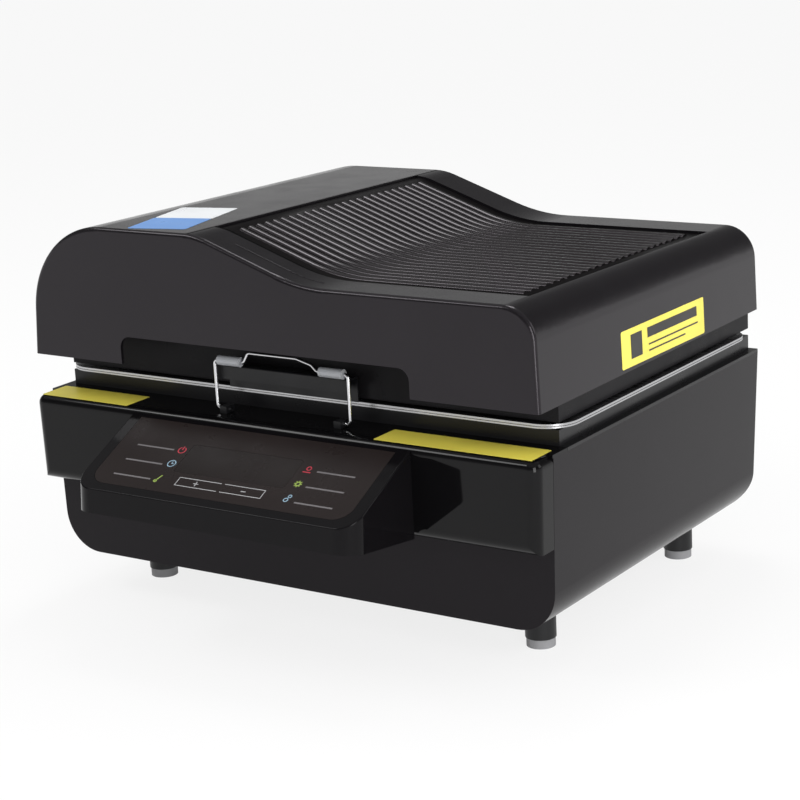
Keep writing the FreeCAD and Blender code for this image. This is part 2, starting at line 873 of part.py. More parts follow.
def make_bed():
    """The pressed tray, the perforated plate in it and the seal on the rim."""
    tray = new_body("bed_tray")
    fit = "part_gap"
    outer = rectangle(
        f"chamber_half - {fit}",
        f"chamber_front + {fit}",
        f"chamber_back - {fit}",
        f"tray_corner - {fit}",
    )
    wall = f"({fit} + tray_sheet)"
    inner = rectangle(
        f"chamber_half - {wall}",
        f"chamber_front + {wall}",
        f"chamber_back - {wall}",
        f"tray_corner - {wall}",
    )
    pad(tray, "Z", "tray_low", "base_rim_top", outer)
    pocket(tray, "Z", "tray_low + tray_sheet", "base_rim_top", inner)
    outlet = rectangle("fitting_radius - 1", "rim_middle - 5", "rim_middle + 5")
    pocket(tray, "Z", "tray_low", "tray_low + tray_sheet", outlet)

    plate = new_body("bed_plate")
    clear = f"({wall} + part_gap)"
    sheet = rectangle(
        f"chamber_half - {clear}",
        f"chamber_front + {clear}",
        f"chamber_back - {clear}",
        f"tray_corner - {clear}",
    )
    pad(plate, "Z", "plate_top - plate_sheet", "plate_top", sheet)
    rows = []
    for i in range(int(value("plate_rows"))):
        y = f"rim_middle + ({i} - (plate_rows - 1) / 2) * plate_pitch"
        for j in range(int(value("plate_columns"))):
            x = f"({j} - (plate_columns - 1) / 2) * plate_pitch"
            rows.append(
                box(
                    f"bed_hole_{i}_{j}",
                    (f"{x} - plate_hole / 2", f"{x} + plate_hole / 2"),
                    (f"{y} - plate_hole / 2", f"{y} + plate_hole / 2"),
                    ("plate_top - 2 * plate_sheet", "plate_top + plate_sheet"),
                )
            )
    less("perforated_plate", plate, group("bed_holes", *rows))

    feet = []
    for i, (side, end) in enumerate(((-1, -1), (1, -1), (1, 1), (-1, 1))):
        x = f"{side} * (chamber_half - 45)"
        y = f"rim_middle + {end} * (chamber_depth / 2 - 45)"
        feet.append(
            box(
                f"plate_foot_{i}",
                (f"{x} - 6", f"{x} + 6"),
                (f"{y} - 6", f"{y} + 6"),
                ("tray_low + tray_sheet", "plate_top - plate_sheet"),
            )
        )
    group("plate_supports", *feet)
    seal_ring("bed_seal", "base_rim_top", "base_rim_top + seal_height")


# --------------------------------------------------------------------------
# Membrane frame
# --------------------------------------------------------------------------
def frame_outline(inset):
    """The membrane frame's outer edge, with round corners."""
    return rectangle(
        f"frame_half - {inset}",
        f"frame_front + {inset}",
        f"frame_back - {inset}",
        f"frame_corner - {inset}",
    )


def make_membrane_frame():
    """Two aluminium frames that clamp a silicone sheet, and the latch's catch."""
    mouth = rectangle("chamber_half", "chamber_front", "chamber_back", "tray_corner")
    ring("frame_lower", "frame_low", "membrane_low", frame_outline("0"), mouth)
    sheet = new_body("silicone_membrane")
    pad(sheet, "Z", "membrane_low", "membrane_top", frame_outline("wall"))
    ring("frame_upper", "membrane_top", "frame_top", frame_outline("0"), mouth)
    catch = new_body("catch_plate")
    pad(catch, "X", "-catch_half_width", "catch_half_width", [
        ("catch_back", "frame_top"),
        ("rim_front - catch_sheet", "frame_top"),
        ("rim_front - catch_sheet", "frame_top + catch_sheet"),
        ("catch_back + catch_sheet", "frame_top + catch_sheet"),
        ("catch_back + catch_sheet", "catch_top", "catch_sheet"),
        ("catch_front", "catch_top", "catch_sheet"),
        ("catch_front", "catch_top - catch_lip"),
        ("catch_front + catch_sheet", "catch_top - catch_lip"),
        ("catch_front + catch_sheet", "catch_top - catch_sheet"),
        ("catch_back", "catch_top - catch_sheet"),
    ])


# --------------------------------------------------------------------------
# Lid
# --------------------------------------------------------------------------
def fall(y):
    """How far the lid's top has come down at a place behind its front."""
    return f"fall_rate * (({y}) - lid_front)"


def wave(low, inset, y, margin="0"):
    """The lid seen from the front: a flat hump on the left runs down to a plateau."""
    side = f"lid_half - {margin}"
    down = f"{inset} - {fall(y)}"
    return [
        (f"-({side})", low),
        (side, low),
        (f"{side} - lid_lean", f"right_height - {down}", f"right_round - {margin}"),
        ("trough_x", f"trough_height - {down}", f"trough_round + {inset}"),
        ("crest_x", f"crest_height - {down}", f"crest_round - {inset}"),
        (
            f"-({side} - lid_lean_left)",
            f"shoulder_height - {down}",
            f"shoulder_round - {margin}",
        ),
    ]


def wave_run(left, right, drop, y="lid_front"):
    """The wave between two places, lowered by a drop, from left to right."""
    down = f"{drop} - {fall(y)}"
    return [
        (left, f"crest_height - hump_slope * (crest_x - ({left})) - {down}"),
        ("crest_x", f"crest_height - {down}", f"inlay_crest_round - {drop}"),
        ("trough_x", f"trough_height - {down}", f"trough_round + {drop}"),
        (right, f"trough_height + plateau_slope * (({right}) - trough_x) - {down}"),
    ]


def make_lid_shell():
    """The moulded lid: wave top, front hand notch and a recess for the inlay."""
    lid = new_body("lid_shell")
    below = "(lid_low - wall - lid_fall)"
    front, back = "lid_front", "lid_back"
    falling(pad(lid, "Y", front, back, wave(below, "0", back)), -1)
    edge_y, low = value("lid_front"), value("lid_low + 5")

    def is_front_edge(edge, middle):
        return near(middle.y, edge_y) and middle.z > low + value("lid_fall")

    rounded(lid, "lid_front_round", is_front_edge)
    pocket(lid, "Y", front, back, rectangle("lid_half", below, "lid_low"))
    front, back = "lid_front + lid_wall", "lid_back - lid_wall"
    hollow = wave(below, "(lid_wall + inlay_drop)", front, "lid_wall")
    falling(pocket(lid, "Y", front, back, hollow), 1)
    left, right = ("notch_shift - notch_width / 2", "notch_shift + notch_width / 2")
    notch = [
        (left, "lid_low"),
        (right, "lid_low"),
        (right, "notch_top", "notch_corner"),
        (left, "notch_top", "notch_corner"),
    ]
    pocket(lid, "Y", "lid_front", "lid_front + lid_wall", notch)
    above = "crest_height + wall"
    recess = [("inlay_left", above)]
    recess += wave_run("inlay_left", "inlay_right", "inlay_drop", "inlay_front")
    recess += [("inlay_right", above)]
    falling(pocket(lid, "Y", "inlay_front", "inlay_back", recess), 1)
    half = "notch_width / 2 - notch_shift + 2 * wall"
    shelf = rectangle(half, "notch_top + 2", "notch_top + 2 + shelf_sheet")
    pad(lid, "Y", "lid_front + lid_wall - 1", "rim_front", shelf)
    return lid


def make_inlay():
    """The ribbed inlay: a wave-shaped plate with ribs that follow it, laid on the fall."""
    inlay = new_body("ribbed_inlay")
    left = "inlay_left + inlay_seam"
    right = "inlay_right - inlay_seam"
    drop = "(inlay_drop - inlay_sheet)"
    top = wave_run(left, right, drop)
    bottom = wave_run(left, right, "(inlay_drop - inlay_film)")
    pad(inlay, "Y", "inlay_front + inlay_seam", "inlay_back - inlay_seam", top + bottom[::-1])
    doc.recompute()
    run = body_sketch(inlay, "Y", "first_rib")
    end = f"{right} - rib_end_gap"
    draw(run, wave_run("rib_start", end, drop), closed=False)
    section = body_sketch(inlay, "X", "rib_start")
    draw(section, [
        ("first_rib - rib_foot / 2", "rib_start_z - rib_root"),
        ("first_rib + rib_foot / 2", "rib_start_z - rib_root"),
        ("first_rib + rib_crown / 2", "rib_start_z + rib_height"),
        ("first_rib - rib_crown / 2", "rib_start_z + rib_height"),
    ])
    rib = inlay.newObject("PartDesign::AdditivePipe", "rib")
    rib.Profile = section
    rib.Spine = (run, [])
    rib.Mode = "Fixed"
    doc.recompute()
    repeated(inlay, rib, "Y", "rib_count", "rib_pitch")
    return lies_on_fall(inlay)


def lies_on_fall(item):
    """Tip an item with the fall of the lid's top, about the lowest line of the wave's front."""
    item.Placement = Placement(Vector(), Rotation(Vector(-1, 0, 0), 1))
    item.setExpression("Placement.Rotation.Angle", bound("atan(fall_rate)"))
    low = "trough_height"
    cosine, sine = "cos(atan(fall_rate))", "sin(atan(fall_rate))"
    return bind(
        item,
        y=f"lid_front - lid_front * {cosine} - {low} * {sine}",
        z=f"{low} + lid_front * {sine} - {low} * {cosine}",
    )


def make_lid_rim():
    """The lid's inner rim: it closes on the membrane frame round the heaters."""
    rim = new_body("lid_rim")
    outer = rectangle("rim_half", "rim_front", "rim_back")
    inner = rectangle("rim_half - wall", "rim_front + wall", "rim_back - wall")
    mouth = rectangle("chamber_half", "chamber_front", "chamber_back", "tray_corner")
    pad(rim, "Z", "lid_rim_low", "lid_rim_top", outer)
    pocket(rim, "Z", "lid_rim_low + wall", "lid_rim_top", inner)
    pocket(rim, "Z", "lid_rim_low", "lid_rim_low + wall", mouth)
    seal_ring("lid_seal", "lid_seal_low", "lid_rim_low")


# --------------------------------------------------------------------------
# Heaters
# --------------------------------------------------------------------------
def make_heater_box():
    """The folded heat shield over the chamber, with its blanket."""
    tray = new_body("heat_shield")
    sheet = "heater_box_sheet"
    grow = f"3 * {sheet}"
    outer = rectangle(
        f"chamber_half + {grow}", f"chamber_front - {grow}", f"chamber_back + {grow}"
    )
    inner = rectangle(
        f"chamber_half + {grow} - {sheet}",
        f"chamber_front - {grow} + {sheet}",
        f"chamber_back + {grow} - {sheet}",
    )
    pad(tray, "Z", "heater_box_low", "heater_box_top", outer)
    pocket(tray, "Z", "heater_box_low", f"heater_box_top - {sheet}", inner)
    box(
        "insulation_blanket",
        (f"-chamber_half - {grow}", f"chamber_half + {grow}"),
        (f"chamber_front - {grow}", f"chamber_back + {grow}"),
        ("heater_box_top", "heater_box_top + blanket_sheet"),
    )


def heater_y(index):
    """The place of a heater tube across the chamber."""
    return f"rim_middle + ({index} - (heater_count - 1) / 2) * heater_pitch"


def make_reflector():
    """A polished sheet with one round trough over each heater tube."""
    reflector = new_body("reflector")
    half = "(heater_pitch - trough_land) / 2"
    top = "(reflector_top - reflector_sheet)"
    low = f"({top} - trough_depth)"
    edge = "(heater_count / 2 * heater_pitch + trough_land)"
    band = [
        (f"rim_middle - {edge}", low),
        (f"rim_middle + {edge}", low),
        (f"rim_middle + {edge}", "reflector_top"),
        (f"rim_middle - {edge}", "reflector_top"),
    ]
    length = "(heater_half - trough_land)"
    pad(reflector, "X", f"-{length}", length, band)
    trough = [
        (f"{heater_y(0)} - {half}", low),
        (f"{heater_y(0)} - {half}", top, "trough_bend"),
        (f"{heater_y(0)} + {half}", top, "trough_bend"),
        (f"{heater_y(0)} + {half}", low),
    ]
    cut = pocket(reflector, "X", f"-{length}", length, trough[::-1])
    repeated(reflector, cut, "Y", "heater_count", "heater_pitch")
    return reflector


def make_heaters():
    """The quartz heater tubes, their ceramic caps and the rails that hold them."""
    tubes = []
    caps = []
    for i in range(int(value("heater_count"))):
        y = heater_y(i)
        tubes.append(
            rod(f"tube_{i}", "X", "heater_radius", ("-heater_half", y, "heater_z"), "2 * heater_half")
        )
        for side, x in (("left", "-heater_half - cap_length"), ("right", "heater_half")):
            caps.append(
                box(
                    f"cap_{side}_{i}",
                    (x, f"{x} + cap_length"),
                    (f"{y} - cap_half", f"{y} + cap_half"),
                    ("heater_z - cap_half", "heater_z + cap_half"),
                )
            )
    group("heater_tubes", *tubes)
    group("heater_caps", *caps)
    for side, span in (
        ("left", ("-chamber_half", "-chamber_half + rail_sheet")),
        ("right", ("chamber_half - rail_sheet", "chamber_half")),
    ):
        rail = new_body(f"heater_rail_{side}")
        pad(rail, "Y", "chamber_front + wall", "chamber_back - wall", [
            (span[0], "heater_z - 1.6 * cap_half"),
            (span[1], "heater_z - 1.6 * cap_half"),
            (span[1], "heater_box_top - heater_box_sheet"),
            (span[0], "heater_box_top - heater_box_sheet"),
        ])


def make_guard():
    """The guard of flat bars under the heater tubes, and the air sensor."""
    reach = "2 * heater_box_sheet"
    bars = []
    for i in range(int(value("guard_count"))):
        x = f"({i} - (guard_count - 1) / 2) * guard_pitch"
        bars.append(
            box(
                f"guard_cross_{i}",
                (f"{x} - guard_bar / 2", f"{x} + guard_bar / 2"),
                (f"chamber_front - {reach}", f"chamber_back + {reach}"),
                ("guard_low", "guard_low + guard_bar"),
            )
        )
    for i in (-1, 1):
        y = f"rim_middle + {i} * chamber_depth / 4"
        bars.append(
            box(
                f"guard_long_{i + 1}",
                (f"-chamber_half - {reach}", f"chamber_half + {reach}"),
                (f"{y} - guard_bar / 2", f"{y} + guard_bar / 2"),
                ("guard_low - guard_bar", "guard_low"),
            )
        )
    join("heater_guard", *bars)
    start = (
        "heater_half + 3 * probe_radius",
        "chamber_back - probe_setback",
        "guard_low + guard_bar + 1.5 * probe_radius",
    )
    rod("temperature_probe", "Y", "probe_radius", start, f"probe_setback + {reach}")


# --------------------------------------------------------------------------
# Hinges at the back
# --------------------------------------------------------------------------
def hinge_leaf(name, station, spans, plates):
    """Barrels on the hinge line and the plates that carry them, as one piece."""
    pieces = []
    for i, (low, high) in enumerate(spans):
        start = (f"{station} + {low}", "hinge_y", "hinge_z")
        length = f"({high}) - ({low})"
        pieces.append(rod(f"{name}_barrel_{i}", "X", "hinge_radius", start, length))
    for i, (low, high, y, z) in enumerate(plates):
        x = (f"{station} + {low}", f"{station} + {high}")
        pieces.append(box(f"{name}_plate_{i}", x, y, z))
    start = (f"{station} - leaf_half - 1", "hinge_y", "hinge_z")
    bore = rod(name + "_bore", "X", "pin_radius + pin_fit", start, "2 * leaf_half + 2")
    return less(name, join(name + "_stock", *pieces), bore)


def make_hinges():
    """Two hinges with a leaf each for base, frame and lid on one pin."""
    half = "knuckle / 2"
    past = "(knuckle / 2 + knuckle_gap)"
    sheet = ("rim_back", "rim_back + hinge_sheet")
    low_tab = ("base_rim_top - hinge_sheet", "hinge_z - hinge_radius / 3")
    high_tab = ("hinge_z + hinge_radius / 3", "lid_rim_low + hinge_sheet")
    base_spans = [("-leaf_half", f"-{past}")]
    frame_spans = [(f"-{half}", half)]
    lid_spans = [(past, "leaf_half")]
    wide = ("-leaf_half", "leaf_half", sheet)
    base_plates = [
        base_spans[0] + (sheet, low_tab),
        wide + (("deck_height + hinge_sheet", "base_rim_top"),),
    ]
    lid_plates = [
        lid_spans[0] + (sheet, high_tab),
        wide + (("lid_rim_low", "lid_rim_low + lid_leaf_height"),),
    ]
    strap = ("frame_back - 4 * wall", "hinge_y")
    frame_plates = [frame_spans[0] + (strap, ("frame_top", "frame_top + hinge_sheet"))]
    sets = {
        "hinge_base_leaves": (base_spans, base_plates),
        "hinge_lid_leaves": (lid_spans, lid_plates),
        "hinge_frame_leaves": (frame_spans, frame_plates),
    }
    stations = {"left": "-hinge_station", "right": "hinge_station"}
    for name, (spans, plates) in sets.items():
        leaves = [hinge_leaf(f"{name}_{side}", at, spans, plates) for side, at in stations.items()]
        group(name, *leaves)
    pins = []
    for side, station in stations.items():
        start = (f"{station} - leaf_half", "hinge_y", "hinge_z")
        pins.append(rod(f"hinge_pin_{side}", "X", "pin_radius", start, "2 * leaf_half"))
    group("hinge_pins", *pins)


# --------------------------------------------------------------------------
# Front latch
# --------------------------------------------------------------------------
def wire_section(across, up, radius, sides=10):
    """The corners of a wire's section: a regular figure round its middle."""
    turns = [360.0 / sides * (i + 0.5) for i in range(sides)]
    return [
        (f"{across} + {radius} * cos({turn})", f"{up} + {radius} * sin({turn})")
        for turn in turns
    ]


def bent_wire(name, run_at, run, start_at, centre, radius):
    """A wire that follows an open run seen from the front, starting along X."""
    body = new_body(name)
    path = draw(body_sketch(body, "Y", run_at), run, closed=False)
    section = body_sketch(body, "X", start_at)
    draw(section, wire_section(*centre, radius))
    doc.recompute()
    pipe = body.newObject("PartDesign::AdditivePipe", name + "_pipe")
    pipe.Profile = section
    pipe.Spine = (path, [])
    return body


def make_latch():
    """The wire bail that swings over the catch, its sleeves and its brackets."""
    step = "(hump_half_width + hump_step)"
    right_run = [
        ("bail_pin_inner", "latch_z"),
        ("bail_half_width", "latch_z", "bail_bend"),
        ("bail_half_width", "bail_top", "bail_bend"),
        (step, "bail_top", "bail_bend"),
    ]
    left_run = [(f"-{c[0]}",) + c[1:] for c in right_run]
    hump = [
        ("-hump_half_width", "hump_top", "bail_bend"),
        ("hump_peak", "hump_top", "2 * bail_bend"),
        ("hump_half_width", "bail_top + hump_shoulder", "bail_bend"),
    ]
    bent_wire(
        "bail_wire",
        "latch_y",
        left_run + hump + right_run[::-1],
        "-bail_pin_inner",
        ("latch_y", "latch_z"),
        "bail_wire",
    )
    brackets = []
    sleeves = []
    for side, sleeve_x, bracket_x in (
        ("left", "-sleeve_inner - sleeve_length", "-bracket_inner - bracket_length"),
        ("right", "sleeve_inner", "bracket_inner"),
    ):
        start = (sleeve_x, "latch_y", "bail_top")
        stock = rod(f"sleeve_stock_{side}", "X", "sleeve_radius", start, "sleeve_length")
        bore = rod(f"sleeve_bore_{side}", "X", "bail_wire", start, "sleeve_length")
        sleeves.append(less(f"sleeve_{side}", stock, bore))
        block = box(
            f"bracket_block_{side}",
            (bracket_x, f"{bracket_x} + bracket_length"),
            ("latch_y - bracket_width / 2", "latch_y + bracket_width / 2"),
            ("deck_height", "latch_z + bracket_rise"),
        )
        start = (f"{bracket_x} - 1", "latch_y", "latch_z")
        hole = rod(f"bracket_hole_{side}", "X", "bail_wire + pin_fit", start, "bracket_length + 2")
        brackets.append(less(f"bracket_{side}", block, hole))
    group("bail_sleeves", *sleeves)
    group("latch_brackets", *brackets)


# --------------------------------------------------------------------------
# Feet
# --------------------------------------------------------------------------
def make_feet():
    """Four round feet with rubber pads."""
    feet = []
    pads = []
    for side, x in (("left", "-foot_x"), ("right", "foot_x")):
        for end, y in (("front", "tub_front + foot_front"), ("back", "back - foot_back")):
            place = f"{end}_{side}"
            height = "foot_height - pad_height"
            feet.append(rod(f"foot_{place}", "Z", "foot_radius", (x, y, "pad_height"), height))
            pads.append(rod(f"pad_{place}", "Z", "pad_radius", (x, y, "0"), "pad_height"))
    group("feet", *feet)
    group("foot_pads", *pads)


# --------------------------------------------------------------------------
# Pump, boards and fan inside the base
# --------------------------------------------------------------------------
def make_pump():
    """The suction fitting, the hose, the pump and its cradle."""
    start = ("0", "rim_middle", "hose_start")
    nipple = rod("fitting_nipple", "Z", "fitting_radius", start, "fitting_length")
    nut = doc.addObject("Part::Prism", "fitting_nut")
    bind(nut, Circumradius="1.6 * fitting_radius", Height="4")
    bind(nut, y="rim_middle", z="tray_low - 4")
    bore = rod("fitting_bore", "Z", "fitting_radius / 2", start, "fitting_length")
    less("suction_fitting", join("fitting_stock", nipple, nut), bore)
    start = ("0", "rim_middle", "pump_head_top")
    rod("vacuum_hose", "Z", "hose_radius", start, "hose_start - pump_head_top")

    start = ("pump_x - pump_length / 2", "rim_middle", "pump_z")
    motor = rod("pump_motor", "X", "pump_radius", start, "pump_length")
    start = ("pump_x - pump_length / 2 - pump_bell", "rim_middle", "pump_z")
    end_bell = rod("pump_end_bell", "X", "pump_radius * 0.6", start, "1.2 * pump_bell")
    head = box(
        "pump_head_block",
        ("pump_head_left - 2", "pump_head_right"),
        ("rim_middle - pump_head / 2", "rim_middle + pump_head / 2"),
        ("pump_z - pump_head / 2", "pump_z + pump_head / 2"),
    )
    join("vacuum_pump", motor, end_bell, head)

    reach = "pump_length * 0.36"
    floor_plate = box(
        "cradle_floor",
        (f"pump_x - {reach} - cheek_sheet", f"pump_x + {reach} + cheek_sheet"),
        ("rim_middle - cradle_half", "rim_middle + cradle_half"),
        ("floor_top", "floor_top + cradle_sheet"),
    )
    cheeks = []
    for side, x in (("left", f"pump_x - {reach}"), ("right", f"pump_x + {reach} - cheek_sheet")):
        cheeks.append(
            box(
                f"cradle_cheek_{side}",
                (x, f"{x} + cheek_sheet"),
                ("rim_middle - cheek_half", "rim_middle + cheek_half"),
                ("floor_top", "pump_z - pump_radius / 2"),
            )
        )
    less("pump_bracket", join("cradle_stock", floor_plate, *cheeks), motor)


def make_power_board():
    """The power board on its posts, with the tall parts it carries."""
    left = "power_x - power_width / 2"
    front = "rim_middle - power_depth / 2"
    deck_z = "floor_top + post_height"
    on_board = f"{deck_z} + board_sheet / 2"
    pieces = [
        box(
            "board_sheet_metal",
            (left, "power_x + power_width / 2"),
            (front, "rim_middle + power_depth / 2"),
            (deck_z, f"{deck_z} + board_sheet"),
        )
    ]
    near_edge = "4 * board_grid"
    for i, (across, deep) in enumerate(
        (
            (near_edge, near_edge),
            (f"power_width - {near_edge}", near_edge),
            (near_edge, f"power_depth - {near_edge}"),
            (f"power_width - {near_edge}", f"power_depth - {near_edge}"),
        )
    ):
        x, y = f"{left} + {across}", f"{front} + {deep}"
        half = "1.5 * board_grid"
        pieces.append(
            box(
                f"board_post_{i}",
                (f"{x} - {half}", f"{x} + {half}"),
                (f"{y} - {half}", f"{y} + {half}"),
                ("floor_top", on_board),
            )
        )
    for i, (across, deep, wide, long, tall) in enumerate(
        ((12, 12, 23, 20, 18), (42, 10, 8, 15, 11), (55, 10, 8, 15, 11), (12, 39, 30, 7, 6))
    ):
        x, y = f"{left} + {across} * board_grid", f"{front} + {deep} * board_grid"
        pieces.append(
            box(
                f"board_block_{i}",
                (x, f"{x} + {wide} * board_grid"),
                (y, f"{y} + {long} * board_grid"),
                (on_board, f"{deck_z} + board_sheet + {tall} * board_grid"),
            )
        )
    for i in range(2):
        x = f"{left} + {52 + 9 * i} * board_grid"
        place = (x, f"{front} + 41 * board_grid", on_board)
        pieces.append(rod(f"board_can_{i}", "Z", "2.75 * board_grid", place, "13 * board_grid"))
    join("power_board", *pieces)


def make_fan():
    """The cooling fan: a square frame hung from the deck, and its rotor."""
    half = "fan_size / 2"
    square = box(
        "fan_square",
        (f"fan_x - {half}", f"fan_x + {half}"),
        ("fan_front", "fan_back"),
        (f"fan_z - {half}", f"fan_z + {half}"),
    )
    start = ("fan_x", "fan_front - 1", "fan_z")
    bore = rod("fan_bore_space", "Y", "fan_bore", start, "fan_thick + 2")
    bars = [
        box(
            "fan_strut_across",
            ("fan_x - fan_bore - 1", "fan_x + fan_bore + 1"),
            ("fan_front", "fan_front + fan_strut"),
            ("fan_z - fan_strut / 2", "fan_z + fan_strut / 2"),
        ),
        box(
            "fan_strut_upright",
            ("fan_x - fan_strut / 2", "fan_x + fan_strut / 2"),
            ("fan_front", "fan_front + fan_strut"),
            ("fan_z - fan_bore - 1", "fan_z + fan_bore + 1"),
        ),
        rod("fan_motor", "Y", "fan_hub - 1", ("fan_x", "fan_front", "fan_z"), "fan_strut + 1"),
        rod("fan_spindle", "Y", "fan_shaft", ("fan_x", "fan_front", "fan_z"), "fan_thick - 2"),
        box(
            "fan_hanger",
            (f"fan_x - {half} * 0.7", f"fan_x + {half} * 0.7"),
            ("fan_front", "fan_front + fan_strut"),
            (f"fan_z + {half} - 2", "tub_top"),
        ),
    ]
    join("cooling_fan", less("fan_casing", square, bore), *bars)

    start = ("fan_x", "fan_front + fan_strut + 1.5", "fan_z")
    pieces = [rod("rotor_hub", "Y", "fan_hub", start, "fan_thick - fan_strut - 4")]
    for i in range(7):
        turn = 360.0 / 7 * i
        blade = doc.addObject("Part::Box", f"rotor_blade_{i}")
        bind(blade, Length="fan_blade - fan_hub + 1", Width="14", Height="1.5")
        blade.Placement.Rotation = Rotation(Vector(0, 1, 0), -turn).multiply(
            Rotation(Vector(1, 0, 0), 35)
        )
        offset = blade.Placement.Rotation.multVec(Vector(0, 7, 0.75))
        reach = "(fan_hub - 2)"
        bind(
            blade,
            x=f"fan_x + {reach} * cos({turn}) - ({offset.x})",
            y=f"(fan_front + fan_strut + fan_back) / 2 - ({offset.y})",
            z=f"fan_z + {reach} * sin({turn}) - ({offset.z})",
        )
        pieces.append(blade)
    start = ("fan_x", "fan_front", "fan_z")
    hole = rod("rotor_bore", "Y", "fan_shaft + pin_fit", start, "fan_thick")
    less("fan_rotor", join("rotor_stock", *pieces), hole)


def make_rear_fittings(tub_outer):
    """The mains inlet and the power switch in the back wall."""
    def across(middle, half):
        return (f"{middle} - ({half})", f"{middle} + ({half})")

    half, tall = "inlet_width / 2", "inlet_height / 2"
    flange = box(
        "inlet_flange_stock",
        across("inlet_x", half),
        ("back - 4 * wall", "back - part_gap"),
        across("inlet_z", tall),
    )
    socket = box(
        "inlet_socket",
        across("inlet_x", f"{half} - 5.3"),
        ("back - 30", "back - 1"),
        across("inlet_z", f"{tall} - 2.3"),
    )
    well = box(
        "inlet_well",
        across("inlet_x", f"{half} - 10"),
        ("back - 16", "back + 1"),
        across("inlet_z", f"{tall} - 5"),
    )
    pins = []
    for i in range(3):
        x = f"inlet_x + {(i - 1) * 8}"
        z = f"inlet_z + {(3 if i == 1 else -2)}"
        pins.append(box(f"inlet_pin_{i}", across(x, "1"), ("back - 18", "back - 6"), across(z, "2")))
    body = join("inlet_stock", less("inlet_flange", flange, tub_outer), socket)
    join("mains_inlet", less("inlet_shell", body, well), *pins)

    half, tall = "rocker_width / 2", "rocker_height / 2"
    flange = box(
        "switch_flange_stock",
        across("switch_x", f"{half} + 4"),
        ("back - 4 * wall", "back - 2 * wall / 3"),
        across("inlet_z", f"{tall} + 4"),
    )
    body = box(
        "switch_body",
        across("switch_x", f"{half} + 1.7"),
        ("back - 26", "back - wall"),
        across("inlet_z", f"{tall} + 1.7"),
    )
    well = box(
        "switch_well",
        across("switch_x", half),
        ("back - 24", "back + 1"),
        across("inlet_z", tall),
    )
    start = (f"switch_x - {half} - 1", "rocker_y", "inlet_z")
    pin = rod("switch_pin", "X", "pin_radius", start, "rocker_width + 2")
    stock = join("switch_stock", less("switch_flange", flange, tub_outer), body)
    join("switch_frame", less("switch_shell", stock, well), pin)
    make_rocker()


def make_rocker():
    """The rocker: a shallow V that tips about a cross pin, drawn switched off."""
    body = new_body("rocker_form")
    reach = "(rocker_height / 2 - 1)"
    outline_points = [
        ("-2", f"-({reach})"),
        ("rocker_rise", f"-({reach})"),
        ("rocker_rise - 2.5", "0"),
        ("rocker_rise", reach),
        ("-2", reach),
        ("-6", "3"),
        ("-6", "-3"),
    ]
    side = "(rocker_width / 2 - part_gap)"
    pad(body, "X", f"-({side})", side, outline_points)
    rounded(body, "0.8", lambda edge, middle: near(abs(middle.x), value(side)) and middle.y > 0)
    body.Placement = Placement(Vector(), Rotation(Vector(1, 0, 0), 1))
    body.setExpression("Placement.Rotation.Angle", bound("rocker_angle"))
    bind(body, x="switch_x", y="rocker_y", z="inlet_z")
    start = ("switch_x - rocker_width / 2", "rocker_y", "inlet_z")
    hole = rod("rocker_bore", "X", "pin_radius + pin_fit", start, "rocker_width")
    less("power_rocker", body, hole)


# --------------------------------------------------------------------------
# Assembly
# --------------------------------------------------------------------------
NODES = [
    "lower_tub", "top_deck", "front_fascia", "panel_housing", "keypad_overlay",
    "display_window", "control_board", "bed_tray", "perforated_plate", "plate_supports",
    "bed_seal", "frame_lower", "silicone_membrane", "frame_upper", "catch_plate",
    "lid_shell", "ribbed_inlay", "lid_rim", "lid_seal", "heat_shield",
    "insulation_blanket", "reflector", "heater_tubes", "heater_caps", "heater_rail_left",
    "heater_rail_right", "heater_guard", "temperature_probe", "hinge_base_leaves",
    "hinge_lid_leaves", "hinge_frame_leaves", "hinge_pins", "latch_brackets", "bail_wire",
    "bail_sleeves", "feet", "foot_pads", "suction_fitting", "vacuum_hose",
    "vacuum_pump", "pump_bracket", "power_board", "cooling_fan", "fan_rotor",
    "mains_inlet", "switch_frame", "power_rocker",
]


def build():
    """Make every piece in its place."""
    make_lower_tub()
    make_top_deck()
    make_fascia()
    make_panel_housing()
    make_keypad()
    make_bed()
    make_membrane_frame()
    make_lid_shell()
    make_inlay()
    make_lid_rim()
    make_heater_box()
    make_reflector()
    make_heaters()
    make_guard()
    make_hinges()
    make_latch()
    make_feet()
    make_pump()
    make_power_board()
    make_fan()
    make_rear_fittings(doc.getObject("tub_outer"))
    doc.recompute()


def check():
    """Stop at any object that did not recompute and at any bad shape."""
    for item in doc.Objects:
        if "Invalid" in item.State or "Error" in item.State:
            raise RuntimeError(f"{item.Label} did not recompute: {item.State}")
    for name in NODES:
        shape = doc.getObject(name).Shape
        if shape.isNull() or not shape.isValid() or not shape.Solids:
            raise RuntimeError(f"{name} is not a good solid")


def export():
    """Write one STEP file per piece."""
    os.makedirs("parts", exist_ok=True)
    for name in NODES:
        item = doc.getObject(name)
        item.Label = name
        item.Shape.exportStep(f"parts/{name}.step")


build()
check()
export()
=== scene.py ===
"""Dress the vacuum sublimation machine: finishes, panel print, labels, trim, light, camera."""

import json
import math

import bmesh
import bpy
from mathutils import Matrix, Vector


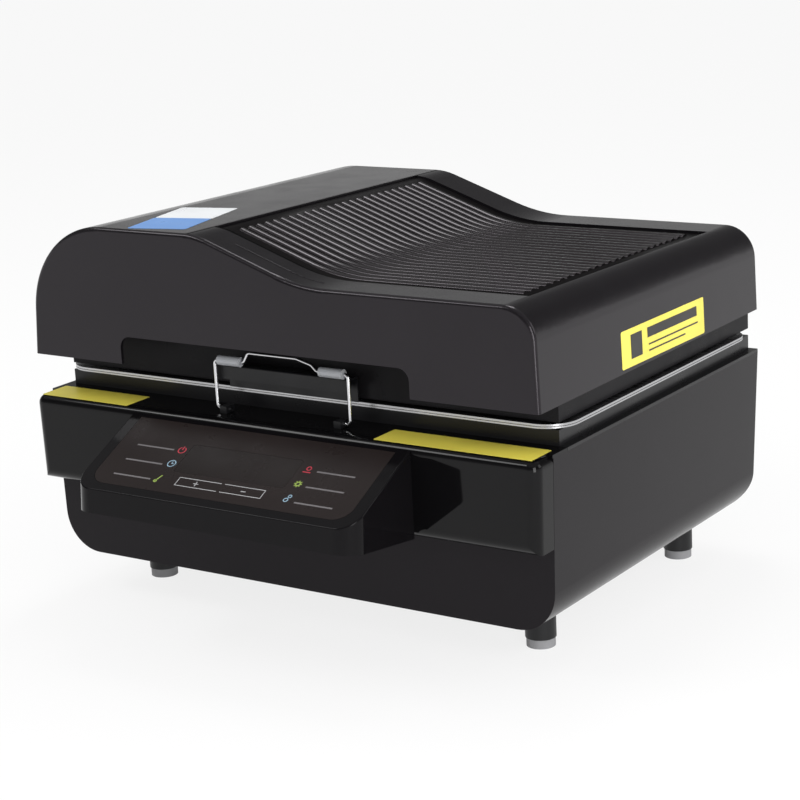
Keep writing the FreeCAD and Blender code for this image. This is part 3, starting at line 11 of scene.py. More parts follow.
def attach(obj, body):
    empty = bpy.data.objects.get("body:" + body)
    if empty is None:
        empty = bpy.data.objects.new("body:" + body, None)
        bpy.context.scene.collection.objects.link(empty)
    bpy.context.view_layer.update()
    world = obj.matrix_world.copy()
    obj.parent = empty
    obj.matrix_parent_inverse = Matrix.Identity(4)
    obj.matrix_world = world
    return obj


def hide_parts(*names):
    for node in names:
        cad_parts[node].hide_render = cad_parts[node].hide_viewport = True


MM = 0.001
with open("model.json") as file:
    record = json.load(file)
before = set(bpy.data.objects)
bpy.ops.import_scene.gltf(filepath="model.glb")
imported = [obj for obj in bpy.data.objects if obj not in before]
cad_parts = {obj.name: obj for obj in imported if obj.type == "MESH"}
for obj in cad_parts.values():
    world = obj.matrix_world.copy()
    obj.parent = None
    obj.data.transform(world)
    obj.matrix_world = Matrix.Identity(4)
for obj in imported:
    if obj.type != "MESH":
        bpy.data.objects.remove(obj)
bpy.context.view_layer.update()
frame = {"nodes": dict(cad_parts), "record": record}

# Places on the machine, in metres: the base, whose back wall leans in below its head.
FRONT_Y = -0.1755
BACK_Y = 0.2745
FLOOR_Z = 0.044
WALL_HEAD_Z = 0.212
WALL_LEAN = 0.008
LEDGE_Z = 0.215
LEDGE_Y = -0.1705

# The foot and the head of the control panel's slope.
PANEL_FOOT = Vector((0.0, -0.2725, 0.1633))
PANEL_HEAD = Vector((0.0, FRONT_Y, 0.2110))

# The middle of the bail's pivots, half the widths of its wire, its height and its bends.
LATCH = Vector((0.0, -0.1475, 0.2182))
BAIL_FOOT_X = 0.0625
BAIL_LEG_X = 0.0786
BAIL_GRIP_X = 0.043
BAIL_HEIGHT = 0.048
BAIL_BEND = 0.0045
WIRE_RADIUS = 0.0018

# The lid, whose right side leans in towards the top, and the hinges behind it.
LID_FRONT_Y = -0.1675
LID_BACK_Y = 0.274
LID_RIGHT_X = 0.295
SIDE_FOOT = 0.2535
SIDE_LEAN = 0.003
HINGE_X = 0.190
HINGE_Z = 0.2335
HINGE_FACE_Y = 0.2702

# The wave of the lid's top at its front, as corners and the radius at each,
# and how fast the top comes down towards the back.
WAVE = [
    ((-0.284, 0.3910), None),
    ((-0.0783, 0.3920), 0.030),
    ((0.0430, 0.3502), 0.190),
    ((0.292, 0.3516), None),
]
FALL = 0.009 / (LID_BACK_Y - LID_FRONT_Y)

# The inlay's ends, how deep its top lies, its thickness, and the ribs on it.
INLAY_X = (-0.0872, 0.2608)
INLAY_Y = (-0.1223, 0.2288)
INLAY_SINK = 0.0025
INLAY_SHEET = 0.0024
RIB_X = (-0.0700, 0.2468)
RIB_COUNT = 25
RIB_PITCH = 0.013
RIB_DEPTH = 0.0003

# The screws: two in each hinge leaf, four round the fan and four in the base's floor.
LEAF_SCREW_X = 0.014
BASE_LEAF_DROP = 0.0095
LID_LEAF_RISE = 0.0145
FAN_CENTRE = (0.205, 0.14)
FAN_SCREW = 0.0357
FLOOR_SCREW_X = (-0.19, 0.19)
FLOOR_SCREW_Y = (-0.11, 0.19)

# How thick print is, and how far its face stands off the keypad.
PRINT_THICK = 0.0001
PRINT_OFF = 0.00012

# How bright the studio looks in a reflection, from the horizon (0) to overhead (1).
HORIZON_TO_CEILING = ((0.02, 1.0), (0.1, 0.5), (0.2, 0.25), (0.32, 0.14), (0.52, 0.1), (0.72, 0.45))


# ---------------------------------------------------------------------------
# Shader helpers
# ---------------------------------------------------------------------------
class Finish:
    """A material under construction: a principled shader and the nodes that feed it."""

    def __init__(self, name, colour, roughness, metallic=0.0):
        self.material = bpy.data.materials.new(name)
        self.material.use_nodes = True
        self.material.diffuse_color = (*colour, 1.0)
        self.nodes = self.material.node_tree.nodes
        self.links = self.material.node_tree.links
        self.shader = self.nodes["Principled BSDF"]
        self.colour = colour
        self.place = self.nodes.new("ShaderNodeTexCoord").outputs["Object"]
        self.set("Base Color", (*colour, 1.0))
        self.set("Roughness", roughness)
        self.set("Metallic", metallic)

    def set(self, socket, value):
        """Give one of the shader's own sockets a plain value."""
        self.shader.inputs[socket].default_value = value

    def stretched(self, scale):
        """Object coordinates scaled by a different amount on each axis."""
        mapping = self.nodes.new("ShaderNodeMapping")
        mapping.inputs["Scale"].default_value = scale
        self.links.new(self.place, mapping.inputs["Vector"])
        return mapping.outputs["Vector"]

    def noise(self, scale, detail=3.0, vector=None, rough=0.55):
        """A noise pattern."""
        noise = self.nodes.new("ShaderNodeTexNoise")
        noise.inputs["Scale"].default_value = scale
        noise.inputs["Detail"].default_value = detail
        noise.inputs["Roughness"].default_value = rough
        self.links.new(vector or self.place, noise.inputs["Vector"])
        return noise.outputs["Fac"]

    def tint(self, pattern, dark, light):
        """Vary the colour between two multiples of its own value."""
        ramp = self.nodes.new("ShaderNodeValToRGB")
        ramp.color_ramp.elements[0].position = 0.3
        ramp.color_ramp.elements[1].position = 0.7
        for element, factor in zip(ramp.color_ramp.elements, (dark, light)):
            element.color = (*(min(1.0, c * factor) for c in self.colour), 1.0)
        self.links.new(pattern, ramp.inputs["Fac"])
        self.links.new(ramp.outputs["Color"], self.shader.inputs["Base Color"])

    def sheen_change(self, pattern, low, high):
        """Vary the roughness between two values."""
        span = self.nodes.new("ShaderNodeMapRange")
        span.inputs["From Min"].default_value = 0.3
        span.inputs["From Max"].default_value = 0.7
        span.inputs["To Min"].default_value = low
        span.inputs["To Max"].default_value = high
        self.links.new(pattern, span.inputs["Value"])
        self.links.new(span.outputs["Result"], self.shader.inputs["Roughness"])

    def relief(self, pattern, height, strength=1.0):
        """Raise the surface by a pattern; further calls add to the first."""
        bump = self.nodes.new("ShaderNodeBump")
        bump.inputs["Strength"].default_value = strength
        bump.inputs["Distance"].default_value = height
        self.links.new(pattern, bump.inputs["Height"])
        taken = self.shader.inputs["Normal"].links
        if taken:
            self.links.new(taken[0].from_socket, bump.inputs["Normal"])
        self.links.new(bump.outputs["Normal"], self.shader.inputs["Normal"])


def moulding(name, colour, roughness, grain=0.00002, grain_scale=1500.0, waviness=0.0):
    """Moulded plastic: a fine grain, a faint change of sheen and of colour."""
    finish = Finish(name, colour, roughness)
    finish.tint(finish.noise(7.0), 0.9, 1.1)
    finish.sheen_change(finish.noise(23.0, 5.0), roughness * 0.85, roughness * 1.15)
    if grain:
        finish.relief(finish.noise(grain_scale, 2.0), grain, 0.5)
    if waviness:
        finish.relief(finish.noise(9.0, 1.0), waviness)
    return finish


def enamel(name, colour, roughness):
    """Sprayed enamel on sheet metal: a soft orange-peel surface."""
    finish = Finish(name, colour, roughness)
    finish.tint(finish.noise(11.0), 0.92, 1.08)
    finish.sheen_change(finish.noise(40.0, 4.0), roughness * 0.85, roughness * 1.2)
    finish.relief(finish.noise(420.0, 1.5), 0.00004, 0.5)
    return finish


def brushed(name, colour, roughness, along="X"):
    """Brushed metal with fine lines along an axis."""
    finish = Finish(name, colour, roughness, 1.0)
    scale = [900.0, 900.0, 900.0]
    scale["XYZ".index(along)] = 12.0
    lines = finish.noise(1.0, 4.0, finish.stretched(scale))
    finish.tint(finish.noise(14.0), 0.92, 1.04)
    finish.sheen_change(lines, roughness * 0.75, roughness * 1.35)
    finish.relief(lines, 0.00001, 0.4)
    return finish


def bright_metal(name, colour, roughness):
    """Plated or polished metal with faint handling marks."""
    finish = Finish(name, colour, roughness, 1.0)
    finish.sheen_change(finish.noise(60.0, 6.0), roughness * 0.6, roughness * 1.8)
    finish.relief(finish.noise(35.0, 2.0), 0.00003, 0.3)
    return finish


def soft_rubber(name, colour, roughness=0.7):
    """Rubber or silicone with a talc-like bloom."""
    finish = Finish(name, colour, roughness)
    finish.tint(finish.noise(30.0, 6.0), 0.85, 1.15)
    finish.relief(finish.noise(700.0, 3.0), 0.00004, 0.6)
    return finish


# ---------------------------------------------------------------------------
# Finishes
# ---------------------------------------------------------------------------
# How strongly a finish reflects what it faces; a half is plain plastic.
SHINE = {
    "casing": 0.32,
    "tub_casing_shaded": 0.16,
    "fascia": 0.2,
    "panel_frame": 0.12,
    "overlay": 0.16,
    "inlay": 0.42,
    "inlay_floor_shaded": 0.08,
    "base_rim": 0.3,
    "rim": 0.07,
    "catch": 0.35,
    "seam": 0.05,
    "foot": 0.3,
    "fan": 0.3,
    "window": 0.14,
}

# Nodes whose finish is not the one of their slot; the tub's is a darker, less reflective copy of the
# casing, as painted shade.
OWN_FINISH = {"lower_tub": "tub_casing_shaded", "top_deck": "base_rim"}


def make_finishes():
    """Every finish by its name: the record's slots, and those of the trim."""
    finishes = {
        "casing": moulding("casing", (0.0075, 0.0066, 0.0078), 0.2, 0.000012, 1100.0, 0.00012),
        # The tub's copy of the casing, darker and less reflective: painted shade on the tub.
        "tub_casing_shaded": moulding("tub_casing_shaded", (0.0065, 0.0058, 0.0066), 0.22, 0.000012, 1100.0, 0.0001),
        "fascia": moulding("fascia", (0.003, 0.0028, 0.0032), 0.05, 0.0, waviness=0.00008),
        "panel_frame": moulding("panel_frame", (0.005, 0.0045, 0.0052), 0.09, 0.0, waviness=0.00005),
        "overlay": moulding("overlay", (0.018, 0.013, 0.0125), 0.3, 0.00001, 900.0),
        "inlay": moulding("inlay", (0.009, 0.0076, 0.0082), 0.17, 0.000006, 1300.0),
        # The plate under the ribs, a darker, rougher, less reflective copy of the ribs' plastic:
        # painted shade between the ribs.
        "inlay_floor_shaded": moulding("inlay_floor_shaded", (0.006, 0.0052, 0.0056), 0.4, 0.000006, 1300.0),
        # Near-black for the lid's seams, and painted shade on the band along the inlay's groove.
        "seam": moulding("seam", (0.002, 0.002, 0.002), 0.8, 0.0),
        "base_rim": moulding("base_rim", (0.008, 0.0078, 0.0088), 0.3),
        "rim": enamel("rim", (0.01, 0.0095, 0.0105), 0.3),
        "catch": enamel("catch", (0.006, 0.006, 0.007), 0.35),
        "frame_metal": brushed("frame_metal", (0.5, 0.5, 0.51), 0.25),
        "silicone": soft_rubber("silicone", (0.58, 0.53, 0.48), 0.45),
        "seal": soft_rubber("seal", (0.02, 0.02, 0.02)),
        "bed": brushed("bed", (0.55, 0.55, 0.56), 0.3),
        "heat_shield": brushed("heat_shield", (0.56, 0.56, 0.57), 0.22, "Y"),
        "mirror_sheet": bright_metal("mirror_sheet", (0.82, 0.82, 0.83), 0.08),
        "blanket": soft_rubber("blanket", (0.78, 0.76, 0.7), 0.95),
        "ceramic": moulding("ceramic", (0.78, 0.75, 0.68), 0.25),
        "wire": bright_metal("wire", (0.68, 0.68, 0.7), 0.14),
        "sleeve": moulding("sleeve", (0.36, 0.37, 0.39), 0.3),
        "hinge": brushed("hinge", (0.5, 0.5, 0.51), 0.3),
        "foot": moulding("foot", (0.012, 0.012, 0.013), 0.45),
        "foot_rubber": soft_rubber("foot_rubber", (0.3, 0.3, 0.31), 0.6),
        "hose": soft_rubber("hose", (0.4, 0.42, 0.45), 0.35),
        "pump": enamel("pump", (0.2, 0.205, 0.215), 0.35),
        "bracket": brushed("bracket", (0.46, 0.46, 0.47), 0.35, "Y"),
        "board": moulding("board", (0.012, 0.11, 0.045), 0.35),
        "fan": moulding("fan", (0.012, 0.012, 0.013), 0.4),
        "inlet": moulding("inlet", (0.012, 0.012, 0.012), 0.5),
        "rocker": moulding("rocker", (0.01, 0.01, 0.01), 0.15),
        "window": moulding("window", (0.014, 0.0105, 0.01), 0.26, 0.0),
        "print": moulding("print", (0.42, 0.42, 0.43), 0.4, 0.0),
        "print_bar": moulding("print_bar", (0.16, 0.15, 0.155), 0.4, 0.0),
        "print_red": moulding("print_red", (0.5, 0.035, 0.06), 0.4, 0.0),
        "print_blue": moulding("print_blue", (0.3, 0.46, 0.58), 0.4, 0.0),
        "print_green": moulding("print_green", (0.3, 0.42, 0.08), 0.4, 0.0),
        "label_yellow": moulding("label_yellow", (0.86, 0.74, 0.1), 0.35, 0.00001, 600.0),
        "label_ink": moulding("label_ink", (0.02, 0.018, 0.016), 0.4, 0.0),
        "label_white": moulding("label_white", (0.82, 0.84, 0.86), 0.3, 0.00001, 600.0),
        "label_blue": moulding("label_blue", (0.12, 0.3, 0.68), 0.3, 0.00001, 600.0),
        "screw": bright_metal("screw", (0.42, 0.42, 0.43), 0.25),
        "black_screw": enamel("black_screw", (0.015, 0.015, 0.016), 0.35),
        "quartz": Finish("quartz", (0.86, 0.85, 0.82), 0.06),
    }
    quartz = finishes["quartz"]
    quartz.set("Transmission Weight", 0.9)
    quartz.set("IOR", 1.45)
    quartz.sheen_change(quartz.noise(50.0), 0.04, 0.12)
    for name, level in SHINE.items():
        finishes[name].set("Specular IOR Level", level)
    for name in ("casing", "tub_casing_shaded", "inlay"):
        finishes[name].set("Specular Tint", (1.0, 0.93, 1.0, 1.0))
    return {name: finish.material for name, finish in finishes.items()}


FINISH = make_finishes()


def dress_nodes():
    """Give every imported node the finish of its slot."""
    slots = {s["node"]: s["material_slot"] for s in frame["record"]["subparts"]}
    for node, item in frame["nodes"].items():
        finish = FINISH[OWN_FINISH.get(node, slots[node])]
        for slot in item.material_slots:
            slot.material = finish


# ---------------------------------------------------------------------------
# Mesh helpers
# ---------------------------------------------------------------------------
def piece(name, verts, faces, finish, body, smooth=False):
    """A mesh object that rides on a body."""
    mesh = bpy.data.meshes.new(name)
    mesh.from_pydata([tuple(v) for v in verts], [], faces)
    mesh.validate()
    mesh.update()
    return settle(bpy.data.objects.new(name, mesh), finish, body, smooth)


def settle(item, finish, body, smooth=False):
    """Link a finished object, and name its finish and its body."""
    if item.name not in bpy.context.scene.collection.objects:
        bpy.context.scene.collection.objects.link(item)
    if not item.data.materials:
        item.data.materials.append(FINISH[finish])
    for polygon in item.data.polygons:
        polygon.use_smooth = smooth
    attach(item, body)
    return item


def baked(item, name):
    """The item with its modifiers applied, as a new plain mesh object."""
    bpy.context.scene.collection.objects.link(item)
    view = bpy.context.evaluated_depsgraph_get()
    mesh = bpy.data.meshes.new_from_object(item.evaluated_get(view))
    mesh.name = name
    result = bpy.data.objects.new(name, mesh)
    bpy.data.objects.remove(item)
    return result


def rounded_path(corners, steps=6):
    """Points along straight runs whose corners are rounded by tangent arcs."""
    points = [Vector(corners[0][0])]
    for i in range(1, len(corners) - 1):
        corner, radius = Vector(corners[i][0]), corners[i][1]
        before = (Vector(corners[i - 1][0]) - corner).normalized()
        after = (Vector(corners[i + 1][0]) - corner).normalized()
        half = before.angle(after) / 2
        centre = corner + (before + after).normalized() * (radius / math.sin(half))
        start = corner + before * (radius / math.tan(half)) - centre
        end = corner + after * (radius / math.tan(half)) - centre
        turn = start.angle(end)
        for step in range(steps + 1):
            share = step / steps
            blend = start * math.sin((1 - share) * turn) + end * math.sin(share * turn)
            points.append(centre + blend / math.sin(turn))
    points.append(Vector(corners[-1][0]))
    return points


def tube(name, points, radius, sides=20):
    """A round wire along a path, as a mesh object with closed ends."""
    curve = bpy.data.curves.new(name, "CURVE")
    curve.dimensions = "3D"
    curve.bevel_depth = radius
    curve.bevel_resolution = sides // 4 - 1
    curve.use_fill_caps = True
    spline = curve.splines.new("POLY")
    spline.points.add(len(points) - 1)
    for target, point in zip(spline.points, points):
        target.co = (*point, 1.0)
    return baked(bpy.data.objects.new(name, curve), name)


# ---------------------------------------------------------------------------
# Geometry Nodes helpers
# ---------------------------------------------------------------------------
class Tree:
    """A Geometry Nodes tree with named inputs."""

    def __init__(self, name, inputs):
        self.tree = bpy.data.node_groups.new(name, "GeometryNodeTree")
        face = self.tree.interface
        face.new_socket("Geometry", in_out="INPUT", socket_type="NodeSocketGeometry")
        for label, kind in inputs.items():
            face.new_socket(label, in_out="INPUT", socket_type="NodeSocket" + kind)
        face.new_socket("Geometry", in_out="OUTPUT", socket_type="NodeSocketGeometry")
        self.start = self.node("NodeGroupInput")
        self.end = self.node("NodeGroupOutput")

    def node(self, kind, **settings):
        """Add a node and set its properties."""
        node = self.tree.nodes.new(kind)
        for name, value in settings.items():
            setattr(node, name, value)
        return node

    def link(self, source, target):
        """Join an output to an input."""
        self.tree.links.new(source, target)

    def given(self, label):
        """One of the tree's named inputs."""
        return self.start.outputs[label]

    def finish(self, geometry):
        """End in Realize Instances and Set Material."""
        realize = self.node("GeometryNodeRealizeInstances")
        paint = self.node("GeometryNodeSetMaterial")
        self.link(geometry, realize.inputs["Geometry"])
        self.link(realize.outputs["Geometry"], paint.inputs["Geometry"])
        self.link(self.given("Finish"), paint.inputs["Material"])
        self.link(paint.outputs["Geometry"], self.end.inputs["Geometry"])
        return self.tree


def grown(name, base, tree, values):
    """Run a tree on a base object and keep its result as a plain mesh."""
    modifier = base.modifiers.new(name, "NODES")
    modifier.node_group = tree
    for item in tree.interface.items_tree:
        if item.in_out == "INPUT" and item.name in values:
            modifier[item.identifier] = values[item.name]
    return baked(base, name)


# ---------------------------------------------------------------------------
# The ribbed inlay
# ---------------------------------------------------------------------------
def wave_points(left, right, drop, steps=14):
    """Points (x, z) along the lid's wave between two places, lowered by a drop."""
    corners = []
    for (x, z), radius in WAVE:
        grow = drop if x > 0 else -drop
        corners.append(((x, 0.0, z - drop), radius and radius + grow))
    path = rounded_path(corners, steps)
    inside = [p for p in path if left < p.x < right]
    return [cut(path, left)] + inside + [cut(path, right)]


def lid_top(x):
    """The height of the lid's top at its front, along the flat of the hump."""
    (left, low), (crest, high) = WAVE[0][0], WAVE[1][0]
    return low + (high - low) * (x - left) / (crest - left)


def lowered(point, y):
    """A point of the wave carried back from the lid's front, along the fall of its top."""
    return Vector((point.x, y, point.z - FALL * (y - LID_FRONT_Y)))


def cut(path, x):
    """The point of a path at a place along X."""
    for one, two in zip(path, path[1:]):
        if one.x <= x <= two.x:
            return one.lerp(two, (x - one.x) / (two.x - one.x))
    raise ValueError("the path does not reach that place")


def rib_tree():
    """Ribs side by side: a section swept along the base line, tapered at its ends."""
    tree = Tree(
        "rib_row",
        {
            "Count": "Int",
            "Step": "Vector",
            "Half width": "Float",
            "Height": "Float",
            "Nose": "Float",
            "Finish": "Material",
        },
    )
    line = tree.node("GeometryNodeMeshToCurve")
    tree.link(tree.given("Geometry"), line.inputs["Mesh"])
    resample = tree.node("GeometryNodeResampleCurve")
    resample.inputs["Count"].default_value = 120
    tree.link(line.outputs["Curve"], resample.inputs["Curve"])

    # Distance to the nearer end, as a share of the nose's length, gives the taper.
    place = tree.node("GeometryNodeSplineParameter")
    length = tree.node("GeometryNodeSplineLength")
    rest = tree.node("ShaderNodeMath", operation="SUBTRACT")
    tree.link(length.outputs["Length"], rest.inputs[0])
    tree.link(place.outputs["Length"], rest.inputs[1])
    nearer = tree.node("ShaderNodeMath", operation="MINIMUM")
    tree.link(place.outputs["Length"], nearer.inputs[0])
    tree.link(rest.outputs[0], nearer.inputs[1])
    share = tree.node("ShaderNodeMath", operation="DIVIDE", use_clamp=True)
    tree.link(nearer.outputs[0], share.inputs[0])
    tree.link(tree.given("Nose"), share.inputs[1])
    away = tree.node("ShaderNodeMath", operation="SUBTRACT")
    away.inputs[0].default_value = 1.0
    tree.link(share.outputs[0], away.inputs[1])
    square = tree.node("ShaderNodeMath", operation="POWER")
    square.inputs[1].default_value = 2.0
    tree.link(away.outputs[0], square.inputs[0])
    left = tree.node("ShaderNodeMath", operation="SUBTRACT")
    left.inputs[0].default_value = 1.0
    tree.link(square.outputs[0], left.inputs[1])
    size = tree.node("ShaderNodeMath", operation="SQRT")
    tree.link(left.outputs[0], size.inputs[0])
    scale = tree.node("GeometryNodeSetCurveRadius")
    tree.link(resample.outputs["Curve"], scale.inputs["Curve"])
    tree.link(size.outputs[0], scale.inputs["Radius"])

    circle = tree.node("GeometryNodeCurvePrimitiveCircle")
    circle.inputs["Resolution"].default_value = 16
    circle.inputs["Radius"].default_value = 1.0
    squash = tree.node("GeometryNodeTransform")
    tree.link(circle.outputs["Curve"], squash.inputs["Geometry"])
    shape = tree.node("ShaderNodeCombineXYZ")
    tree.link(tree.given("Half width"), shape.inputs["X"])
    tree.link(tree.given("Height"), shape.inputs["Y"])
    shape.inputs["Z"].default_value = 1.0
    tree.link(shape.outputs["Vector"], squash.inputs["Scale"])
    sweep = tree.node("GeometryNodeCurveToMesh")
    tree.link(scale.outputs["Curve"], sweep.inputs["Curve"])
    tree.link(squash.outputs["Geometry"], sweep.inputs["Profile Curve"])
    sweep.inputs["Fill Caps"].default_value = True

    row = tree.node("GeometryNodeMeshLine", mode="OFFSET")
    tree.link(tree.given("Count"), row.inputs["Count"])
    tree.link(tree.given("Step"), row.inputs["Offset"])
    copies = tree.node("GeometryNodeInstanceOnPoints")
    tree.link(row.outputs["Mesh"], copies.inputs["Points"])
    tree.link(sweep.outputs["Mesh"], copies.inputs["Instance"])
    smooth = tree.node("GeometryNodeSetShadeSmooth")
    tree.link(copies.outputs["Instances"], smooth.inputs["Geometry"])
    return tree.finish(smooth.outputs["Geometry"])


def make_inlay():
    """The wave-shaped plate sunk in the lid and the ribs that run over it."""
    top = wave_points(*INLAY_X, INLAY_SINK)
    low = wave_points(*INLAY_X, INLAY_SINK + INLAY_SHEET)
    front, back = INLAY_Y
    count = len(top)
    verts = [lowered(p, y) for line in (top, low) for y in (front, back) for p in line]
    tf, tb, lf, lb = (range(i * count, (i + 1) * count) for i in range(4))
    faces = []
    for a, b in ((tf, tb), (lb, lf), (lf, tf), (tb, lb)):
        faces += [(a[i], a[i + 1], b[i + 1], b[i]) for i in range(count - 1)]
    faces += [(tf[0], tb[0], lb[0], lf[0]), (tf[-1], lf[-1], lb[-1], tb[-1])]
    # The plate between the ribs takes the darker copy of the inlay plastic: painted shade in the
    # valleys.
    plate = piece("inlay_plate", verts, faces, "inlay_floor_shaded", "lid")
    for polygon in plate.data.polygons:
        polygon.use_smooth = abs(polygon.normal.z) > 0.5
    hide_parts("ribbed_inlay")

    middle = (front + back) / 2
    first = middle - (RIB_COUNT - 1) / 2 * RIB_PITCH
    path = wave_points(*RIB_X, INLAY_SINK + RIB_DEPTH)
    mesh = bpy.data.meshes.new("rib_line")
    edges = [(i, i + 1) for i in range(len(path) - 1)]
    mesh.from_pydata([lowered(p, first) for p in path], edges, [])
    ribs = grown(
        "inlay_ribs",
        bpy.data.objects.new("rib_line", mesh),
        rib_tree(),
        {
            "Count": RIB_COUNT,
            "Step": (0.0, RIB_PITCH, -FALL * RIB_PITCH),
            "Half width": 0.0044,
            "Height": 0.0027,
            "Nose": 0.012,
            "Finish": FINISH["inlay"],
        },
    )
    settle(ribs, "inlay", "lid", smooth=True)


def lid_strip(name, path, side, height):
    """A thin dark strip on the lid: a flat band along a path, its half width given as a vector."""
    depth = Vector((0, 0, 0.0003))
    verts = []
    for point in path:
        top = point + Vector((0, 0, height))
        verts += [top - side, top + side, point + side - depth, point - side - depth]
    faces = []
    for i in range(len(path) - 1):
        for k in range(4):
            j = (k + 1) % 4
            faces.append((4 * i + k, 4 * i + j, 4 * i + 4 + j, 4 * i + 4 + k))
    last = 4 * (len(path) - 1)
    faces += [(3, 2, 1, 0), (last, last + 1, last + 2, last + 3)]
    strip = piece(name, verts, faces, "seam", "lid")
    mesh = bmesh.new()
    mesh.from_mesh(strip.data)
    bmesh.ops.recalc_face_normals(mesh, faces=mesh.faces)
    mesh.to_mesh(strip.data)
    mesh.free()


def make_lid_lines():
    """The seams from the inlay to both ends of the lid, the front ridge, and a near-black band of
    painted shade along the inlay's front groove.
    """
    seam_x = INLAY_X[0] - 0.0005
    seam_top = Vector((seam_x, 0.0, lid_top(seam_x) - 0.0001))
    for name, start, end in (
        ("lid_seam_front", LID_FRONT_Y + 0.003, INLAY_Y[0]),
        ("lid_seam_back", INLAY_Y[1], LID_BACK_Y - 0.001),
    ):
        ends = [lowered(seam_top, y) for y in (start, end)]
        lid_strip(name, ends, Vector((0.0008, 0, 0)), 0.00005)

    ridge_y, ridge_x, ridge_radius = -0.1440, (-0.046, 0.055), 0.0006
    ridge = [lowered(p, ridge_y) for p in wave_points(*ridge_x, 0.0)]
    settle(tube("lid_ridge", ridge, ridge_radius, 12), "casing", "lid", smooth=True)

    # A near-black band laid flat on the inlay's front edge: painted shade of the groove's step, in the
    # seams' finish.
    groove_shade_y = INLAY_Y[0] + 0.0035
    groove = [lowered(p, groove_shade_y) for p in wave_points(*INLAY_X, INLAY_SINK)]
    lid_strip("inlay_groove", groove, Vector((0, 0.0033, 0)), 0.00012)


# ---------------------------------------------------------------------------
# The bail
# ---------------------------------------------------------------------------
def make_bail():
    """The bright wire bail with its arched middle."""
    y, low, top = LATCH.y, LATCH.z, LATCH.z + BAIL_HEIGHT
    right = [
        ((BAIL_FOOT_X, y, low), None),
        ((BAIL_LEG_X, y, low), BAIL_BEND),
        ((BAIL_LEG_X, y, top), BAIL_BEND),
        ((BAIL_GRIP_X, y, top), BAIL_BEND),
    ]
    left = [((-x, back, z), radius) for (x, back, z), radius in right]
    arch = [
        ((-0.037, y, top + 0.010), BAIL_BEND),
        ((0.020, y, top + 0.010), 2 * BAIL_BEND),
        ((0.037, y, top + 0.0055), BAIL_BEND),
    ]
    path = rounded_path(left + arch + right[::-1], 8)
    wire = tube("bail_wire_bright", path, WIRE_RADIUS, 24)
    settle(wire, "wire", "latch_bail", smooth=True)
    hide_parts("bail_wire")


# ---------------------------------------------------------------------------
# Print on the keypad
# ---------------------------------------------------------------------------
def panel_place(x, up, height=PRINT_OFF):
    """A place on the keypad from its distances across and up the slope, in mm."""
    slope = (PANEL_HEAD - PANEL_FOOT).normalized()
    out = Vector((1, 0, 0)).cross(slope)
    return PANEL_FOOT + Vector((x * MM, 0, 0)) + slope * (up * MM) + out * height


def printed(name, outlines, finish, place=panel_place, body="base"):
    """Thin printed shapes: each outline is a closed list of (across, up) in mm."""
    lift = place(0, 0, PRINT_OFF) - place(0, 0, PRINT_OFF - PRINT_THICK)
    verts, faces = [], []
    for outline in outlines:
        start, count = len(verts), len(outline)
        verts += [place(x, y) for x, y in outline]
        verts += [v - lift for v in verts[start : start + count]]
        faces.append(tuple(range(start, start + count)))
        faces.append(tuple(range(start + 2 * count - 1, start + count - 1, -1)))
        for i in range(count):
            j = (i + 1) % count
            faces.append((start + j, start + i, start + count + i, start + count + j))
    return piece(name, verts, faces, finish, body)


def rect(x0, y0, x1, y1):
    """A rectangle's outline."""
    return [(x0, y0), (x1, y0), (x1, y1), (x0, y1)]


def arc_band(x, y, radius, width, start, end, steps=24):
    """A ring or part of one, as a row of four-sided outlines."""
    outlines = []
    for i in range(steps):
        a, b = (math.radians(start + (end - start) * (i + k) / steps) for k in (0, 1))
        inner, outer = radius - width / 2, radius + width / 2
        corners = ((outer, a), (outer, b), (inner, b), (inner, a))
        outlines.append([(x + r * math.cos(t), y + r * math.sin(t)) for r, t in corners])
    return outlines


def bar(x0, y0, x1, y1, width):
    """A straight stroke between two places."""
    run = Vector((x1 - x0, y1 - y0)).normalized() * (width / 2)
    side = (run.y, -run.x)
    return [
        (x0 + side[0], y0 + side[1]),
        (x1 + side[0], y1 + side[1]),
        (x1 - side[0], y1 - side[1]),
        (x0 - side[0], y0 - side[1]),
    ]


